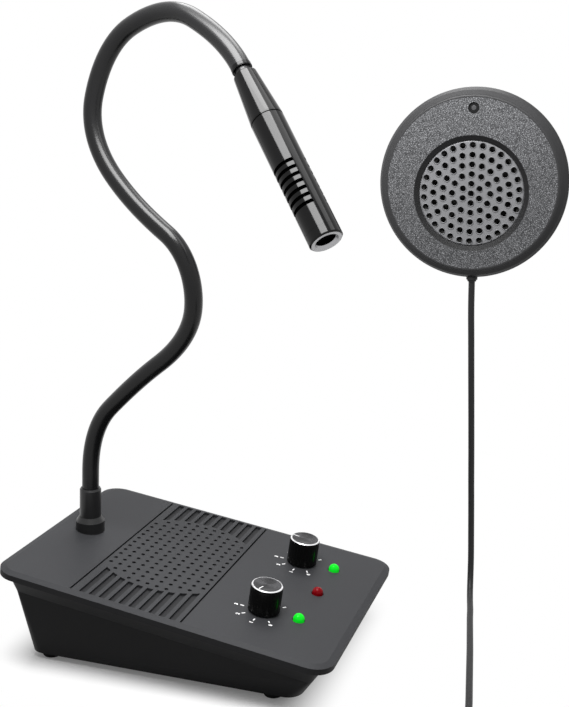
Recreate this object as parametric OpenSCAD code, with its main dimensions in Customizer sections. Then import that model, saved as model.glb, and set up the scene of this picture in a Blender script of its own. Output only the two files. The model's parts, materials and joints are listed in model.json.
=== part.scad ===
// Teller window intercom: a wedge-shaped desk console with a gooseneck
// microphone, and a round outside speaker that sticks to the window glass.
// Units are millimetres, +Z is up. The console stands on Z = 0 with its long
// side along X, high end at -X, low end with the controls at +X. The outside
// speaker faces -Y. The origin is the middle of the footprint, on the counter.

/* [Console] */
// Length of the top plate, measured along its slope
plate_l = 175; // [150:1:200]
// Width of the top plate
plate_w = 126.5; // [118:0.5:150]
// Height of the top plate's high edge above the counter
console_h = 52.3; // [48:0.1:64]
// Slope of the top plate, in degrees
slope = 8.33; // [6:0.01:9]
// Thickness of the plate at its rim
rim_t = 4; // [3.5:0.1:6]
// Thickness of the plate inside the rim
plate_t = 2.6; // [2:0.1:3.2]
// Corner radius of the plate
plate_r = 11; // [6:0.5:16]
// Width of the bevel round the plate's top edge
bevel_w = 3.2; // [1:0.1:5]
// Drop of that bevel at the plate's edge
bevel_d = 1; // [0.5:0.1:2]
// Distance from the plate's edge to the flare under it
flare_inset = 4; // [3:0.5:6]
// Distance from the plate's edge to the case wall below the flare
wall_inset = 9; // [7:0.5:12]
// Height of the flare
flare_h = 10; // [6:0.5:12]
// Lean of the case walls, from the flare down to the bottom edge
wall_lean = 2.8; // [1:0.1:4]
// Distance along X from the plate's low edge to the case's bottom edge
low_inset = 17.8; // [14:0.1:22]
// Corner radius of the case's bottom edge
bottom_r = 8; // [5:0.5:12]
// Wall thickness of the case
wall = 2.2; // [1.6:0.1:2.6]
// Thickness of the case's floor
floor_t = 2.4; // [2:0.1:3]

/* [Feet and screws] */
// Diameter of a rubber foot
foot_d = 10; // [8:0.5:14]
// Height of a rubber foot below the case
foot_h = 3.3; // [2.5:0.1:5]
// Distance of the feet from the bottom edge at the high end
foot_margin_high = 10; // [8:0.5:14]
// Distance of the feet from the bottom edge at the low end
foot_margin_low = 15; // [8:0.5:18]
// Distance of the feet from the bottom edge at the sides
foot_margin_side = 7; // [6:0.5:12]
// Shank diameter of a case screw
screw_d = 3; // [2.5:0.1:3.5]
// Head diameter of a case screw
screw_head_d = 5.6; // [4.5:0.1:6]
// Length of a case screw's shank
screw_l = 14; // [12:0.5:16]
// Diameter of a screw boss
boss_d = 8; // [7:0.5:10]
// Distance of the screws from the bottom edge at the high end
screw_inset = 22; // [20:0.5:26]

/* [Speaker panel in the console] */
// Distance from the high edge to the middle of the panel
panel_x = 71.2; // [60:0.1:80]
// Distance from the plate's middle to the line that the panel, neck and dials share
middle_offset = 2.75; // [-3:0.25:5]
// Distance between two slots, side by side
slot_pitch = 5.33; // [5:0.01:5.6]
// Width of a slot
slot_w = 3.2; // [2:0.1:4]
// Depth of a slot
slot_depth = 1.2; // [0.6:0.1:1.5]
// Number of slots at each end of the panel
slot_count = 10; // [8:1:12]
// Radius of the round field that the slots stop at
field_r = 41.4; // [38:0.1:44]
// Width of the grooves that border the panel
border_w = 1; // [0.6:0.1:1.6]
// Diameter of a sound hole
sound_hole_d = 1.7; // [1.2:0.1:2.2]
// Distance between sound holes along the plate
hole_pitch_x = 5.17; // [4.8:0.01:5.6]
// Distance between sound holes across the plate
hole_pitch_y = 5.34; // [4.8:0.01:5.6]
// Outer diameter of the console speaker's frame
speaker_d = 77; // [66:1:80]
// Depth of the console speaker, frame to magnet
speaker_depth = 19; // [16:0.5:20]

/* [Dials and lamps] */
// Distance from the plate's low edge to the dials
dial_inset = 44.4; // [41:0.1:48]
// Distance between the two dials
dial_gap = 60; // [50:0.5:64]
// Diameter of a volume knob
knob_d = 16; // [13:0.5:18]
// Height of a knob's top above the plate
knob_h = 14.2; // [12:0.1:18]
// Gap between a knob and the plate
knob_gap = 0.8; // [0.5:0.1:1.2]
// Number of flutes round a knob
flute_count = 30; // [18:1:36]
// Diameter of the pot's shaft
shaft_d = 6; // [5:0.1:6.4]
// Diameter of the pot's threaded bush
bush_d = 8; // [7.6:0.1:9]
// Angle of the inner dial's pointer from +X
inner_pointer = -108; // [-150:1:-60]
// Angle of the outer dial's pointer from +X
outer_pointer = 178; // [120:1:200]
// Distance from the plate's low edge to the signal lamps
lamp_inset = 26.4; // [21:0.1:29]
// Diameter of a signal lamp
lamp_d = 5.6; // [4:0.1:6]
// Height of a lamp's dome above the plate
lamp_h = 3.4; // [2.6:0.1:5]

/* [Gooseneck] */
// Distance from the high edge to the gooseneck
neck_x = 18.6; // [17:0.1:24]
// Lean of the gooseneck's foot towards +X, in degrees
neck_lean = 3; // [0:0.5:6]
// Diameter of the gooseneck
neck_d = 9; // [7:0.1:10]
// Diameter of the cable way inside it
neck_bore = 4; // [2:0.1:5]
// Diameter of the collar at its foot
collar_d = 15.4; // [14.5:0.1:18]
// Height of the collar, at its middle
collar_h = 8; // [6:0.5:12]
// Diameter of the ferrule
ferrule_d = 11.4; // [11.2:0.1:13]
// Height of the ferrule's top above the plate
ferrule_h = 24; // [18:0.5:30]
// Height above the plate at which the gooseneck starts to bend
neck_start = 33.6; // [30:0.1:40]
// Length of one stretch of the gooseneck between two bending points
link_l = 41; // [36:0.5:44]
// Bend of each stretch, in degrees
link_bend = [43, 7, -41, -73, 15, 54, 53, 51, 25]; // [-90:1:90]
// Turn of each stretch's bending plane about the gooseneck, in degrees
link_roll = [-9, 0, 17, -11, 12, 10, 1, -1, -14]; // [-45:1:45]

/* [Microphone] */
// Diameter of the microphone's barrel
mic_d = 14.7; // [12:0.1:16]
// Diameter of its tail, where the gooseneck comes in
mic_tail_d = 10.6; // [10:0.1:12]
// Distance from the gooseneck's end to the tail
mic_gap = 2.5; // [1.5:0.1:4]
// Distance from the gooseneck's end to the barrel
mic_barrel_start = 28.7; // [22:0.1:34]
// Distance from the gooseneck's end to the front ring
mic_ring_start = 87; // [84:0.1:95]
// Distance from the gooseneck's end to the microphone's tip
mic_tip = 91.5; // [89:0.1:100]
// Wall thickness of the barrel
mic_wall = 1.2; // [0.8:0.1:1.6]
// Number of sound slots in a row
mic_slots = 7; // [5:1:8]
// Distance from the gooseneck's end to the first slot
mic_slot_start = 54.3; // [50:0.1:57]
// Distance between two slots
mic_slot_pitch = 3.53; // [3:0.01:4]
// Width of a slot
mic_slot_w = 1.7; // [1:0.1:2]
// Turn of the slots about the barrel, in degrees
mic_slot_turn = -77; // [-180:1:180]

/* [Outside speaker] */
// X of the outside speaker's middle, from the console's high edge
window_x = 203; // [195:1:240]
// Y of its widest round, from the console's near edge
window_y = 160; // [140:1:200]
// Height of its middle above the counter
window_z = 233; // [200:1:300]
// Diameter of its widest round
window_d = 100; // [96:1:120]
// Width of the bevelled rim round its face plate
window_rim = 4.5; // [3.5:0.1:6]
// Distance from its widest round to its front
face_rise = 5; // [3:0.5:8]
// Distance from its widest round to its back
case_depth = 16; // [14:0.5:24]
// Thickness of its walls
window_wall = 2; // [1.5:0.1:2.6]
// Diameter of the opening round the grille
grille_opening = 61; // [59:0.5:66]
// Diameter of the grille's visible disc
grille_d = 55.6; // [52:0.1:57]
// Distance of the grille below the middle
grille_drop = 5; // [3:0.5:7]
// Diameter of a hole in the grille
grille_hole_d = 3.1; // [2:0.1:3.6]
// Distance between two rings of holes
grille_pitch = 5.05; // [4.6:0.01:5.2]
// Rings of holes round the middle one
grille_rings = 5; // [3:1:5]
// Distance from the face plate's edge to the middle of the window microphone
window_mic_inset = 6.2; // [5.5:0.1:8]
// Diameter of the window microphone's opening
window_mic_d = 5.9; // [4:0.1:6]
// Thickness of the adhesive pad
pad_t = 1.2; // [0.8:0.1:2]

/* [Cord] */
// Diameter of the outside speaker's cord
cord_d = 3.5; // [3:0.1:4]
// Mean diameter of the coil of spare cord
coil_d = 47; // [42:1:60]
// Radial thickness of the coil's bundle, five turns side by side
coil_w = 18; // [17.5:0.5:20]
// Upright thickness of the coil's bundle, four layers of turns
coil_h = 13; // [12.5:0.5:15]

/* [Hidden] */
$fn = 64;
eps = 0.01;
fit_gap = 0.2;       // between parts that are put together
run_gap = 0.05;      // between a shaft and its bearing, on the radius
ball_gap = 0.3;      // between two stretches of the gooseneck
skin = 0.05;         // step between round surfaces of one stretch
hull_fn = 32;        // facets of the shapes inside a hull

// Console, in plan and in height
middle_y = plate_w / 2 + middle_offset;
dial_x = plate_l - dial_inset;
lamp_x = plate_l - lamp_inset;
bottom_z = foot_h;
floor_z = bottom_z + floor_t;
bottom_x0 = wall_inset + wall_lean / 2;
bottom_y0 = wall_inset + wall_lean;
bottom_l = plate_l * cos(slope) - bottom_x0 - low_inset;
board_t = 1.6;
board_gap = 8;       // floor to main board
pot_w = 14;          // of a pot's square body
board_z = floor_z + board_gap;
board_x0 = bottom_x0 + wall + 3;
board_y0 = bottom_y0 + wall + 6;
low_screw_x = dial_x * cos(slope) - pot_w / 2 - boss_d / 2 - 3;   // between the speaker and the pots
board_l = low_screw_x - board_x0;
board_w = plate_w - 2 * board_y0;
ballast_t = 3;
post_d = 6;          // posts that carry the main board
post_inset = 5;
joint_z = bottom_z + 13;   // where the two rows of screw bosses meet

// Speaker panel
panel_half = (slot_count + 1) / 2 * slot_pitch;
hole_field_r = field_r - 1.9;
hole_rows = 7;
hole_cols = 5;
speaker_flange_t = 1.2;
magnet_d = 45;
magnet_t = 8;
speaker_screw_r = speaker_d / 2 - 2;

// Dials
dial_ys = [middle_y - dial_gap / 2, middle_y + dial_gap / 2];
control_gap = 9;     // plate's underside to the control board
control_w = plate_t + control_gap;
bush_h = 4.5;        // above the plate
nut_t = 2;
nut_af = 11;
knob_bore_h = knob_h - 3;
cap_t = 1;
lamp_hole_d = lamp_d + 0.8;
lamp_ys = [dial_ys[0] + 0.8, middle_y + 1.6, dial_ys[1] + 1.4];

// Back panel sockets, at the console's high end
socket_z = board_z + board_t + 4.8;
socket_ys = [middle_y - 30, middle_y - 10, middle_y + 10];  // power inlet, speaker, recorder
switch_y = middle_y + 30;
socket_nose_d = [9, 7, 7];
socket_bore_d = [6.3, 3.6, 3.6];
socket_body = [13, 11, 9.6];
nose_l = 6.5;
socket_x0 = bottom_x0 - 0.5;   // plane of the noses' ends
switch_travel = 2.2;
switch_slot_l = 7.4;
switch_slot_h = 3.4;

// Gooseneck
tail_d = 9.8;        // of the ferrule's tail, through the plate
tail_drop = 9;       // of that tail below the plate
cap_r = neck_d / 2;
lip = sqrt(pow(cap_r + ball_gap, 2) - pow(cap_r + skin, 2)) + 0.1;
socket_l = cap_r + 1;  // straight foot of a stretch, round its socket
link_count = len(link_bend);
spigot_d = 7;
spigot_l = mic_gap + 4;

// Microphone
mic_ring_hole = mic_d * 0.6;
mic_slot_arc = 130;

// Outside speaker
face_d = window_d - 2 * window_rim;
window_mic_rise = face_d / 2 - window_mic_inset;
window_mic_h = 6;
grille_t = 1;
face_t = 2.2;
seat_t = 1.4;        // of the ledge that the face plate sits on
ledge_w = 2.5;
gland_d = 6;
gland_l = 4;
gland_x = window_x + 1.5;
gland_z = window_z - window_d / 2 - gland_l + 1.5;
gland_y = window_y + 1.5;

// The cord hangs from the gland, turns on the counter, runs forwards and climbs its coil.
// Points are from the console's corner; each is the cord's middle.
cord_r = cord_d / 2;
cord_points = [
    [204.5, 161.5, 180.5], [204.8, 161.5, 165], [205.5, 161.5, 148],
    [206.3, 161.5, 128], [207.1, 161.6, 108], [207.9, 161.6, 88],
    [208.6, 161.7, 68], [209.3, 161.7, 50], [209.9, 161.5, 34],
    [210.5, 160.5, 21], [211.1, 157.5, 11], [212, 152, 4.5],
    [213.4, 144, 2], [215.2, 134, 1.75], [216.9, 123, 1.75],
    [218.9, 111, 1.75], [220.9, 99, 1.75], [222.9, 87, 1.75],
    [224.8, 75, 1.75], [226.7, 63, 1.75], [228.6, 51, 1.75],
    [230.5, 39, 1.75], [232.2, 27, 2], [233.1, 17, 3.8],
    [232.9, 8, 6.8], [231.9, 0, 9.6], [230.3, -7, 11.3]
];
coil_x = 253;
coil_y = -27;
plug_x = coil_x + coil_d / 2 + coil_w / 2 - cord_d / 2 - 0.25;
plug_y = coil_y + 11;
plug_z = 4;

// Rigid moves as matrices
function move(v) = [[1, 0, 0, v[0]], [0, 1, 0, v[1]], [0, 0, 1, v[2]], [0, 0, 0, 1]];
function turn_y(a) = [[cos(a), 0, sin(a), 0], [0, 1, 0, 0], [-sin(a), 0, cos(a), 0], [0, 0, 0, 1]];
function turn_z(a) = [[cos(a), -sin(a), 0, 0], [sin(a), cos(a), 0, 0], [0, 0, 1, 0], [0, 0, 0, 1]];

// Foot of the gooseneck, on the plate and leaning
neck_foot = move([neck_x * cos(slope), middle_y, console_h - neck_x * sin(slope)]) * turn_y(neck_lean);

// Frame of bending point i: Z along the gooseneck, before stretch i bends
function bend_r(i) = (link_l - socket_l) * 180 / (PI * link_bend[i]);
function bend_head(i) = move([bend_r(i) * (1 - cos(link_bend[i])), 0, socket_l + bend_r(i) * sin(link_bend[i])])
    * turn_y(link_bend[i]);
function stretch(i) = turn_z(link_roll[i]) * bend_head(i) * turn_z(-link_roll[i]);
function neck_frame(i) = i == 0 ? neck_foot * move([0, 0, neck_start]) : neck_frame(i - 1) * stretch(i - 1);

// The footprint's middle, from the console's corner
mic_frame = neck_frame(link_count);
mic_dir_y = mic_frame[1][2];
mic_tip_y = mic_frame[1][3] + mic_tip * mic_dir_y;
low_y = mic_tip_y - mic_d / 2 * sqrt(1 - mic_dir_y * mic_dir_y);
high_y = window_y + case_depth + pad_t;
origin_x = (window_x + window_d / 2) / 2;
origin_y = (low_y + high_y) / 2;

// Colours
charcoal = [0.23, 0.235, 0.245];
black = [0.07, 0.07, 0.075];
rubber = [0.05, 0.05, 0.05];
steel = [0.62, 0.63, 0.65];
brass = [0.78, 0.62, 0.3];
paper = [0.35, 0.33, 0.3];
board_green = [0.07, 0.3, 0.16];
grey = [0.42, 0.42, 0.43];
silver = [0.66, 0.67, 0.68];
lamp_green = [0.1, 0.85, 0.2];
lamp_red = [0.65, 0.04, 0.05];

// ---------------------------------------------------------------- places

// From the console's corner to the footprint's middle
module placed() {
    translate([-origin_x, -origin_y, 0]) children();
}

// On the sloping plate: x along the slope, y across, z out of the plate
module on_plate(x = 0, y = 0) {
    placed() translate([0, 0, console_h]) rotate([0, slope, 0]) translate([x, y, 0]) children();
}

module on_neck(frame) {
    placed() multmatrix(frame) children();
}

// On the outside speaker: z towards the customer, y up
module on_window(x = 0, y = 0) {
    placed() translate([window_x + x, window_y, window_z + y]) rotate([90, 0, 0]) children();
}

// Flat plate with round corners, its corner at the origin
module round_rect(l, w, r) {
    union() {
        translate([r, 0]) square([l - 2 * r, w]);
        translate([0, r]) square([l, w - 2 * r]);
        for (x = [r, l - r], y = [r, w - r]) translate([x, y]) circle(r);
    }
}

// The same, grown or shrunk on every side, as a thin slice for a hull
module slice(l, w, r, inset) {
    translate([inset, inset, 0]) linear_extrude(eps)
        round_rect(l - 2 * inset, w - 2 * inset, max(r - inset, 1), $fn = hull_fn);
}

// ---------------------------------------------------------------- console shells

// Slot floors and lines of the speaker panel, as cutters below the plate's top
module panel_cutters() {
    near = bevel_w + 0.4;
    far = plate_w - near;
    difference() {
        for (i = [0 : slot_count - 1])
            translate([panel_x - panel_half + (i + 1) * slot_pitch - slot_w / 4, near, -slot_depth])
                cube([slot_w, far - near, slot_depth + 1]);
        translate([panel_x, middle_y, -slot_depth - 1]) cylinder(r = field_r, h = slot_depth + 3);
    }
    for (side = [-1, 1])
        translate([panel_x + side * panel_half - border_w / 2, near, -slot_depth])
            cube([border_w, far - near, slot_depth + 1]);
}

module sound_holes() {
    for (i = [-hole_cols : hole_cols], j = [-hole_rows : hole_rows])
        if (norm([i * hole_pitch_x, j * hole_pitch_y]) < hole_field_r)
            translate([panel_x + i * hole_pitch_x, middle_y + j * hole_pitch_y, -rim_t - 1])
                cylinder(d = sound_hole_d, h = rim_t + 2, $fn = 16);
}

// Screw places, in the console's level frame
function screw_places() = [for (x = [bottom_x0 + screw_inset, low_screw_x],
                                y = [bottom_y0 + boss_d / 2 + wall, plate_w - bottom_y0 - boss_d / 2 - wall]) [x, y]];

// Everything above the plate's underside, to trim what hangs below it
module above_plate(drop) {
    translate([0, 0, console_h]) rotate([0, slope, 0])
        translate([-100, -100, -drop]) cube([plate_l + 200, plate_w + 200, 100]);
}

module top_cover() {
    color(charcoal) {
        on_plate() difference() {
            union() {
                hull() {
                    translate([0, 0, -bevel_d]) slice(plate_l, plate_w, plate_r, 0);
                    translate([0, 0, -eps]) slice(plate_l, plate_w, plate_r, bevel_w);
                }
                translate([0, 0, -rim_t]) linear_extrude(rim_t - bevel_d + eps / 2)
                    round_rect(plate_l, plate_w, plate_r);
            }
            pocket = flare_inset + wall + 1.3;
            translate([pocket, pocket, -rim_t - 1])
                linear_extrude(rim_t - plate_t + 1)
                    round_rect(plate_l - 2 * pocket, plate_w - 2 * pocket, plate_r / 2);
            panel_cutters();
            sound_holes();
            for (y = dial_ys) translate([dial_x, y, -rim_t]) cylinder(d = bush_d + fit_gap, h = rim_t + 1);
            for (y = lamp_ys) translate([lamp_x, y, -rim_t]) cylinder(d = lamp_hole_d, h = rim_t + 1);
            translate([neck_x, middle_y, 0]) rotate([0, neck_lean - slope, 0])
                translate([0, 0, -rim_t * 2]) cylinder(d = tail_d + 2 * fit_gap, h = rim_t * 4);
        }
        placed() for (p = screw_places()) difference() {
            translate([p[0], p[1], joint_z]) cylinder(d = boss_d, h = console_h - joint_z);
            translate([p[0], p[1], joint_z - 1]) cylinder(d = screw_d + 2 * run_gap, h = screw_l);
            above_plate(plate_t / 2);
        }
    }
}

// Outer or inner form of the lower case, drawn in by a wall
module case_form(inset, low) {
    // upper edge of the flare, under the plate
    module top_slice(d, drop) {
        translate([0, 0, console_h]) rotate([0, slope, 0]) translate([0, 0, -rim_t - drop])
            slice(plate_l, plate_w, plate_r, d);
    }
    hull() {
        top_slice(flare_inset + inset, eps + (inset > 0 ? -1 : 0));
        top_slice(wall_inset + inset, flare_h);
    }
    hull() {
        top_slice(wall_inset + inset, flare_h);
        translate([bottom_x0, bottom_y0, low]) slice(bottom_l, plate_w - 2 * bottom_y0, bottom_r, inset);
    }
}

module bottom_case() {
    color(black) placed() {
        difference() {
            union() {
                difference() {
                    case_form(0, bottom_z);
                    case_form(wall, floor_z);
                }
                for (p = screw_places()) translate([p[0], p[1], bottom_z])
                    cylinder(d = boss_d, h = joint_z - bottom_z - fit_gap);
                for (p = board_posts()) translate([p[0], p[1], bottom_z])
                    cylinder(d = post_d, h = board_z - bottom_z);
            }
            for (p = screw_places()) translate([p[0], p[1], bottom_z - 1]) {
                cylinder(d = screw_d + 2 * fit_gap, h = joint_z);
                cylinder(d = screw_head_d + 2 * fit_gap, h = 4);
            }
            for (i = [0 : 2]) translate([socket_x0 - 5, socket_ys[i], socket_z]) rotate([0, 90, 0])
                cylinder(d = socket_nose_d[i] + 2 * fit_gap, h = nose_l + 5);
            translate([socket_x0 - 5, switch_y - switch_slot_l / 2, socket_z - switch_slot_h / 2])
                cube([nose_l + 5, switch_slot_l, switch_slot_h]);
        }
    }
}

function foot_places() = [for (x = [bottom_x0 + foot_margin_high, bottom_x0 + bottom_l - foot_margin_low],
                               y = [bottom_y0 + foot_margin_side, plate_w - bottom_y0 - foot_margin_side]) [x, y]];

module rubber_feet() {
    color(rubber) placed() for (p = foot_places()) translate([p[0], p[1], 0]) {
        cylinder(d1 = foot_d - 1, d2 = foot_d, h = 0.8);
        translate([0, 0, 0.8]) cylinder(d = foot_d, h = foot_h - 0.8);
    }
}

module case_screws() {
    color(steel) placed() for (p = screw_places()) translate([p[0], p[1], bottom_z]) {
        translate([0, 0, 1]) difference() {
            cylinder(d = screw_head_d, h = 2);
            translate([0, 0, -1]) for (a = [0, 90]) rotate([0, 0, a])
                translate([-1.5, -0.35, 0]) cube([3, 0.7, 2]);
        }
        translate([0, 0, 3 - eps]) cylinder(d = screw_d, h = screw_l);
    }
}

// ---------------------------------------------------------------- inside the console

function board_posts() = [for (x = [board_x0 + post_inset, board_x0 + board_l - post_inset],
                               y = [board_y0 + post_inset, board_y0 + board_w - post_inset]) [x, y]];

module ballast_plate() {
    color(steel) placed() difference() {
        inset = post_inset + post_d;
        translate([board_x0 + inset, board_y0 - 2, floor_z])
            cube([board_l - 2 * inset, board_w + 4, ballast_t]);
        for (p = screw_places()) translate([p[0], p[1], floor_z - 1])
            cylinder(d = boss_d + 4 * fit_gap, h = ballast_t + 2);
    }
}

module main_board() {
    color(board_green) placed() difference() {
        translate([board_x0, board_y0, board_z]) cube([board_l, board_w, board_t]);
        for (p = screw_places()) translate([p[0], p[1], board_z - 1])
            cylinder(d = boss_d + 2, h = board_t + 2);
    }
}

module amplifier_heatsink() {
    fins = 6;
    fin_gap = 4;
    color(silver) placed() translate([board_x0 + 70, board_y0 + 4, board_z + board_t]) {
        cube([26, fins * fin_gap, 1.5]);
        for (i = [0 : fins - 1]) translate([0, i * fin_gap, 1.5 - eps]) cube([26, 1.2, 5]);
    }
}

module capacitors() {
    // place on the board, diameter and height
    color(paper) placed() for (p = [[28, 8, 8, 11], [40, 8, 8, 11], [28, board_w - 12, 10, 13], [88, board_w - 20, 6, 7]])
        translate([board_x0 + p[0], board_y0 + p[1], board_z + board_t]) cylinder(d = p[2], h = p[3]);
}

module control_board() {
    margin = 8;
    color(board_green) on_plate() translate([dial_x - margin, dial_ys[0] - margin, -control_w - board_t])
        cube([lamp_x - dial_x + margin + 5, dial_gap + 2 * margin, board_t]);
}

module speaker_frame() {
    rim = speaker_d / 2;
    color(steel) on_plate(panel_x, middle_y) difference() {
        translate([0, 0, -plate_t]) rotate_extrude() polygon([
            [rim - 5, 0], [rim, 0], [rim, -speaker_flange_t], [rim - 4, -speaker_flange_t],
            [magnet_d / 2 + 1, -speaker_depth + magnet_t], [12, -speaker_depth + magnet_t],
            [12, -speaker_depth + magnet_t + 1], [magnet_d / 2 + 0.5, -speaker_depth + magnet_t + 1],
            [rim - 5, -speaker_flange_t]
        ]);
        for (a = [45 : 90 : 315]) rotate([0, 0, a]) translate([speaker_screw_r, 0, -plate_t - 5])
            cylinder(d = 2.4, h = 10, $fn = 24);
    }
}

module speaker_cone() {
    rim = speaker_d / 2 - 7.2;
    color(paper) on_plate(panel_x, middle_y) translate([0, 0, -plate_t - 0.8]) rotate_extrude() polygon([
        [0, -3], [6, -4], [9.5, -7], [10, -9.5], [10.6, -9.5], [13, -7.5], [rim - 5, -2.2], [rim - 3, -0.9],
        [rim, -1.2], [rim, -1.8], [rim - 3, -1.6], [rim - 5, -2.9], [13, -8.2],
        [10.8, -10], [10.8, -10.4], [9.2, -10.4], [9, -7.4], [6, -4.6], [0, -3.6]
    ]);
}

module speaker_magnet() {
    color(steel) on_plate(panel_x, middle_y) translate([0, 0, -plate_t - speaker_depth])
        difference() {
            cylinder(d = magnet_d, h = magnet_t - eps);
            translate([0, 0, 3]) cylinder(d = 22, h = magnet_t);
        }
}

module speaker_screws() {
    color(steel) on_plate(panel_x, middle_y) for (a = [45 : 90 : 315]) rotate([0, 0, a])
        translate([speaker_screw_r, 0, -plate_t - speaker_flange_t]) {
            translate([0, 0, -1.4]) cylinder(d = 3.7, h = 1.4);
            translate([0, 0, -eps]) cylinder(d = 2.2, h = speaker_flange_t - 0.05);
        }
}

// ---------------------------------------------------------------- dials and lamps

module pot_body(y) {
    color(steel) on_plate(dial_x, y) difference() {
        union() {
            translate([-pot_w / 2, -pot_w / 2, -control_w]) cube([pot_w, pot_w, control_gap - 0.5]);
            translate([0, 0, -plate_t - 1]) cylinder(d = bush_d, h = plate_t + 1 + bush_h);
        }
        translate([0, 0, -control_w + 2]) cylinder(d = shaft_d + 2 * run_gap, h = control_w + bush_h);
    }
}

module inner_pot_body() {
    pot_body(dial_ys[0]);
}

module outer_pot_body() {
    pot_body(dial_ys[1]);
}

module pot_nuts() {
    color(steel) for (y = dial_ys) on_plate(dial_x, y) difference() {
        cylinder(d = nut_af / cos(30), h = nut_t, $fn = 6);
        translate([0, 0, -1]) cylinder(d = bush_d, h = nut_t + 2);
    }
}

module pot_shaft(y, pointer) {
    color(steel) on_plate(dial_x, y) rotate([0, 0, pointer]) difference() {
        translate([0, 0, -control_w + 2 + fit_gap]) cylinder(d = shaft_d, h = control_w - 2 - fit_gap + knob_bore_h);
        translate([-0.4, -shaft_d, knob_bore_h - 5]) cube([0.8, 2 * shaft_d, 6]);
    }
}

module inner_pot_shaft() {
    pot_shaft(dial_ys[0], inner_pointer);
}

module outer_pot_shaft() {
    pot_shaft(dial_ys[1], outer_pointer);
}

module knob(y, pointer) {
    flute_d = 0.9;
    color(black) on_plate(dial_x, y) rotate([0, 0, pointer]) difference() {
        translate([0, 0, knob_gap]) cylinder(d = knob_d, h = knob_h - cap_t - knob_gap);
        for (i = [0 : flute_count - 1]) rotate([0, 0, (i + 0.5) * 360 / flute_count])
            translate([knob_d / 2 + 0.15, 0, knob_gap - 1]) cylinder(d = flute_d, h = knob_h - cap_t - 0.6, $fn = 16);
        translate([0, 0, -1]) cylinder(d = nut_af / cos(30) + 1, h = 1 + bush_h + 0.6);
        translate([0, 0, -1]) cylinder(d = shaft_d, h = knob_bore_h + 1);
    }
}

module inner_knob() {
    knob(dial_ys[0], inner_pointer);
}

module outer_knob() {
    knob(dial_ys[1], outer_pointer);
}

module knob_cap(y, pointer) {
    chamfer = 0.7;
    color(silver) on_plate(dial_x, y) rotate([0, 0, pointer]) difference() {
        translate([0, 0, knob_h - cap_t]) {
            cylinder(d = knob_d - 0.4, h = cap_t - chamfer);
            translate([0, 0, cap_t - chamfer]) cylinder(d1 = knob_d - 0.4, d2 = knob_d - 0.4 - 2 * chamfer, h = chamfer);
        }
        translate([knob_d / 2 - 5, -0.4, knob_h - 0.25]) cube([6, 0.8, 1]);
    }
}

module inner_knob_cap() {
    knob_cap(dial_ys[0], inner_pointer);
}

module outer_knob_cap() {
    knob_cap(dial_ys[1], outer_pointer);
}

module lamp(y, tint) {
    r = lamp_d / 2;
    color(tint) on_plate(lamp_x, y) {
        translate([0, 0, -control_w]) cylinder(r = r, h = control_w + lamp_h - r);
        translate([0, 0, lamp_h - r]) intersection() {
            sphere(r);
            translate([0, 0, r / 2]) cube([2 * r, 2 * r, r], center = true);
        }
        translate([0, 0, -plate_t - 2]) cylinder(r = r + 0.4, h = 1);
    }
}

module inner_signal_lamp() {
    lamp(lamp_ys[0], lamp_green);
}

module power_lamp() {
    lamp(lamp_ys[1], lamp_red);
}

module outer_signal_lamp() {
    lamp(lamp_ys[2], lamp_green);
}

// ---------------------------------------------------------------- back panel

// A socket: a body on the main board and a round nose through the wall
module socket(i, tint) {
    color(tint) placed() difference() {
        union() {
            translate([socket_x0 + nose_l, socket_ys[i] - socket_body[1] / 2, board_z + board_t])
                cube([socket_body[0], socket_body[1], socket_body[2]]);
            translate([socket_x0, socket_ys[i], socket_z]) rotate([0, 90, 0])
                cylinder(d = socket_nose_d[i], h = nose_l + 1);
        }
        translate([socket_x0 - 1, socket_ys[i], socket_z]) rotate([0, 90, 0])
            cylinder(d = socket_bore_d[i], h = 15);
    }
}

module power_inlet() {
    socket(0, black);
    color(brass) placed() translate([socket_x0 + 2, socket_ys[0], socket_z]) rotate([0, 90, 0])
        cylinder(d = 2.1, h = 13, $fn = 24);
}

module speaker_socket() {
    socket(1, black);
}

module recorder_socket() {
    socket(2, black);
}

module switch_housing() {
    color(steel) placed() difference() {
        translate([socket_x0 + nose_l - 3, switch_y - 8, board_z + board_t]) cube([9, 16, 8]);
        translate([socket_x0 + nose_l - 4, switch_y - switch_slot_l / 2 - fit_gap, socket_z - switch_slot_h / 2 - fit_gap])
            cube([7, switch_slot_l + 2 * fit_gap, switch_slot_h + 2 * fit_gap]);
    }
}

module switch_slider() {
    button = switch_slot_l - switch_travel - 2 * fit_gap;
    color(black) placed() translate([socket_x0 - 0.8, switch_y - switch_slot_l / 2 + fit_gap, socket_z - switch_slot_h / 2 + fit_gap])
        difference() {
            cube([nose_l + 1.5, button, switch_slot_h - 2 * fit_gap]);
            for (y = [1, 2.2, 3.4]) translate([-1, y, -1]) cube([1.5, 0.4, 5]);
        }
}

// ---------------------------------------------------------------- gooseneck

module neck_collar() {
    cone_h = 2.6;
    color(black) difference() {
        on_neck(neck_foot) difference() {
            translate([0, 0, -3]) union() {
                cylinder(d = collar_d, h = collar_h - cone_h + 3);
                translate([0, 0, collar_h - cone_h + 3 - eps])
                    cylinder(d1 = collar_d - 0.6, d2 = ferrule_d + 0.4, h = cone_h);
            }
            translate([0, 0, -5]) cylinder(d = tail_d + 2 * fit_gap, h = collar_h + 10);
            translate([0, 0, 3]) cylinder(d = ferrule_d + 2 * run_gap, h = collar_h);
        }
        on_plate() translate([-20, -20, -30]) cube([plate_l, plate_w + 40, 30 + eps]);
    }
}

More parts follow.
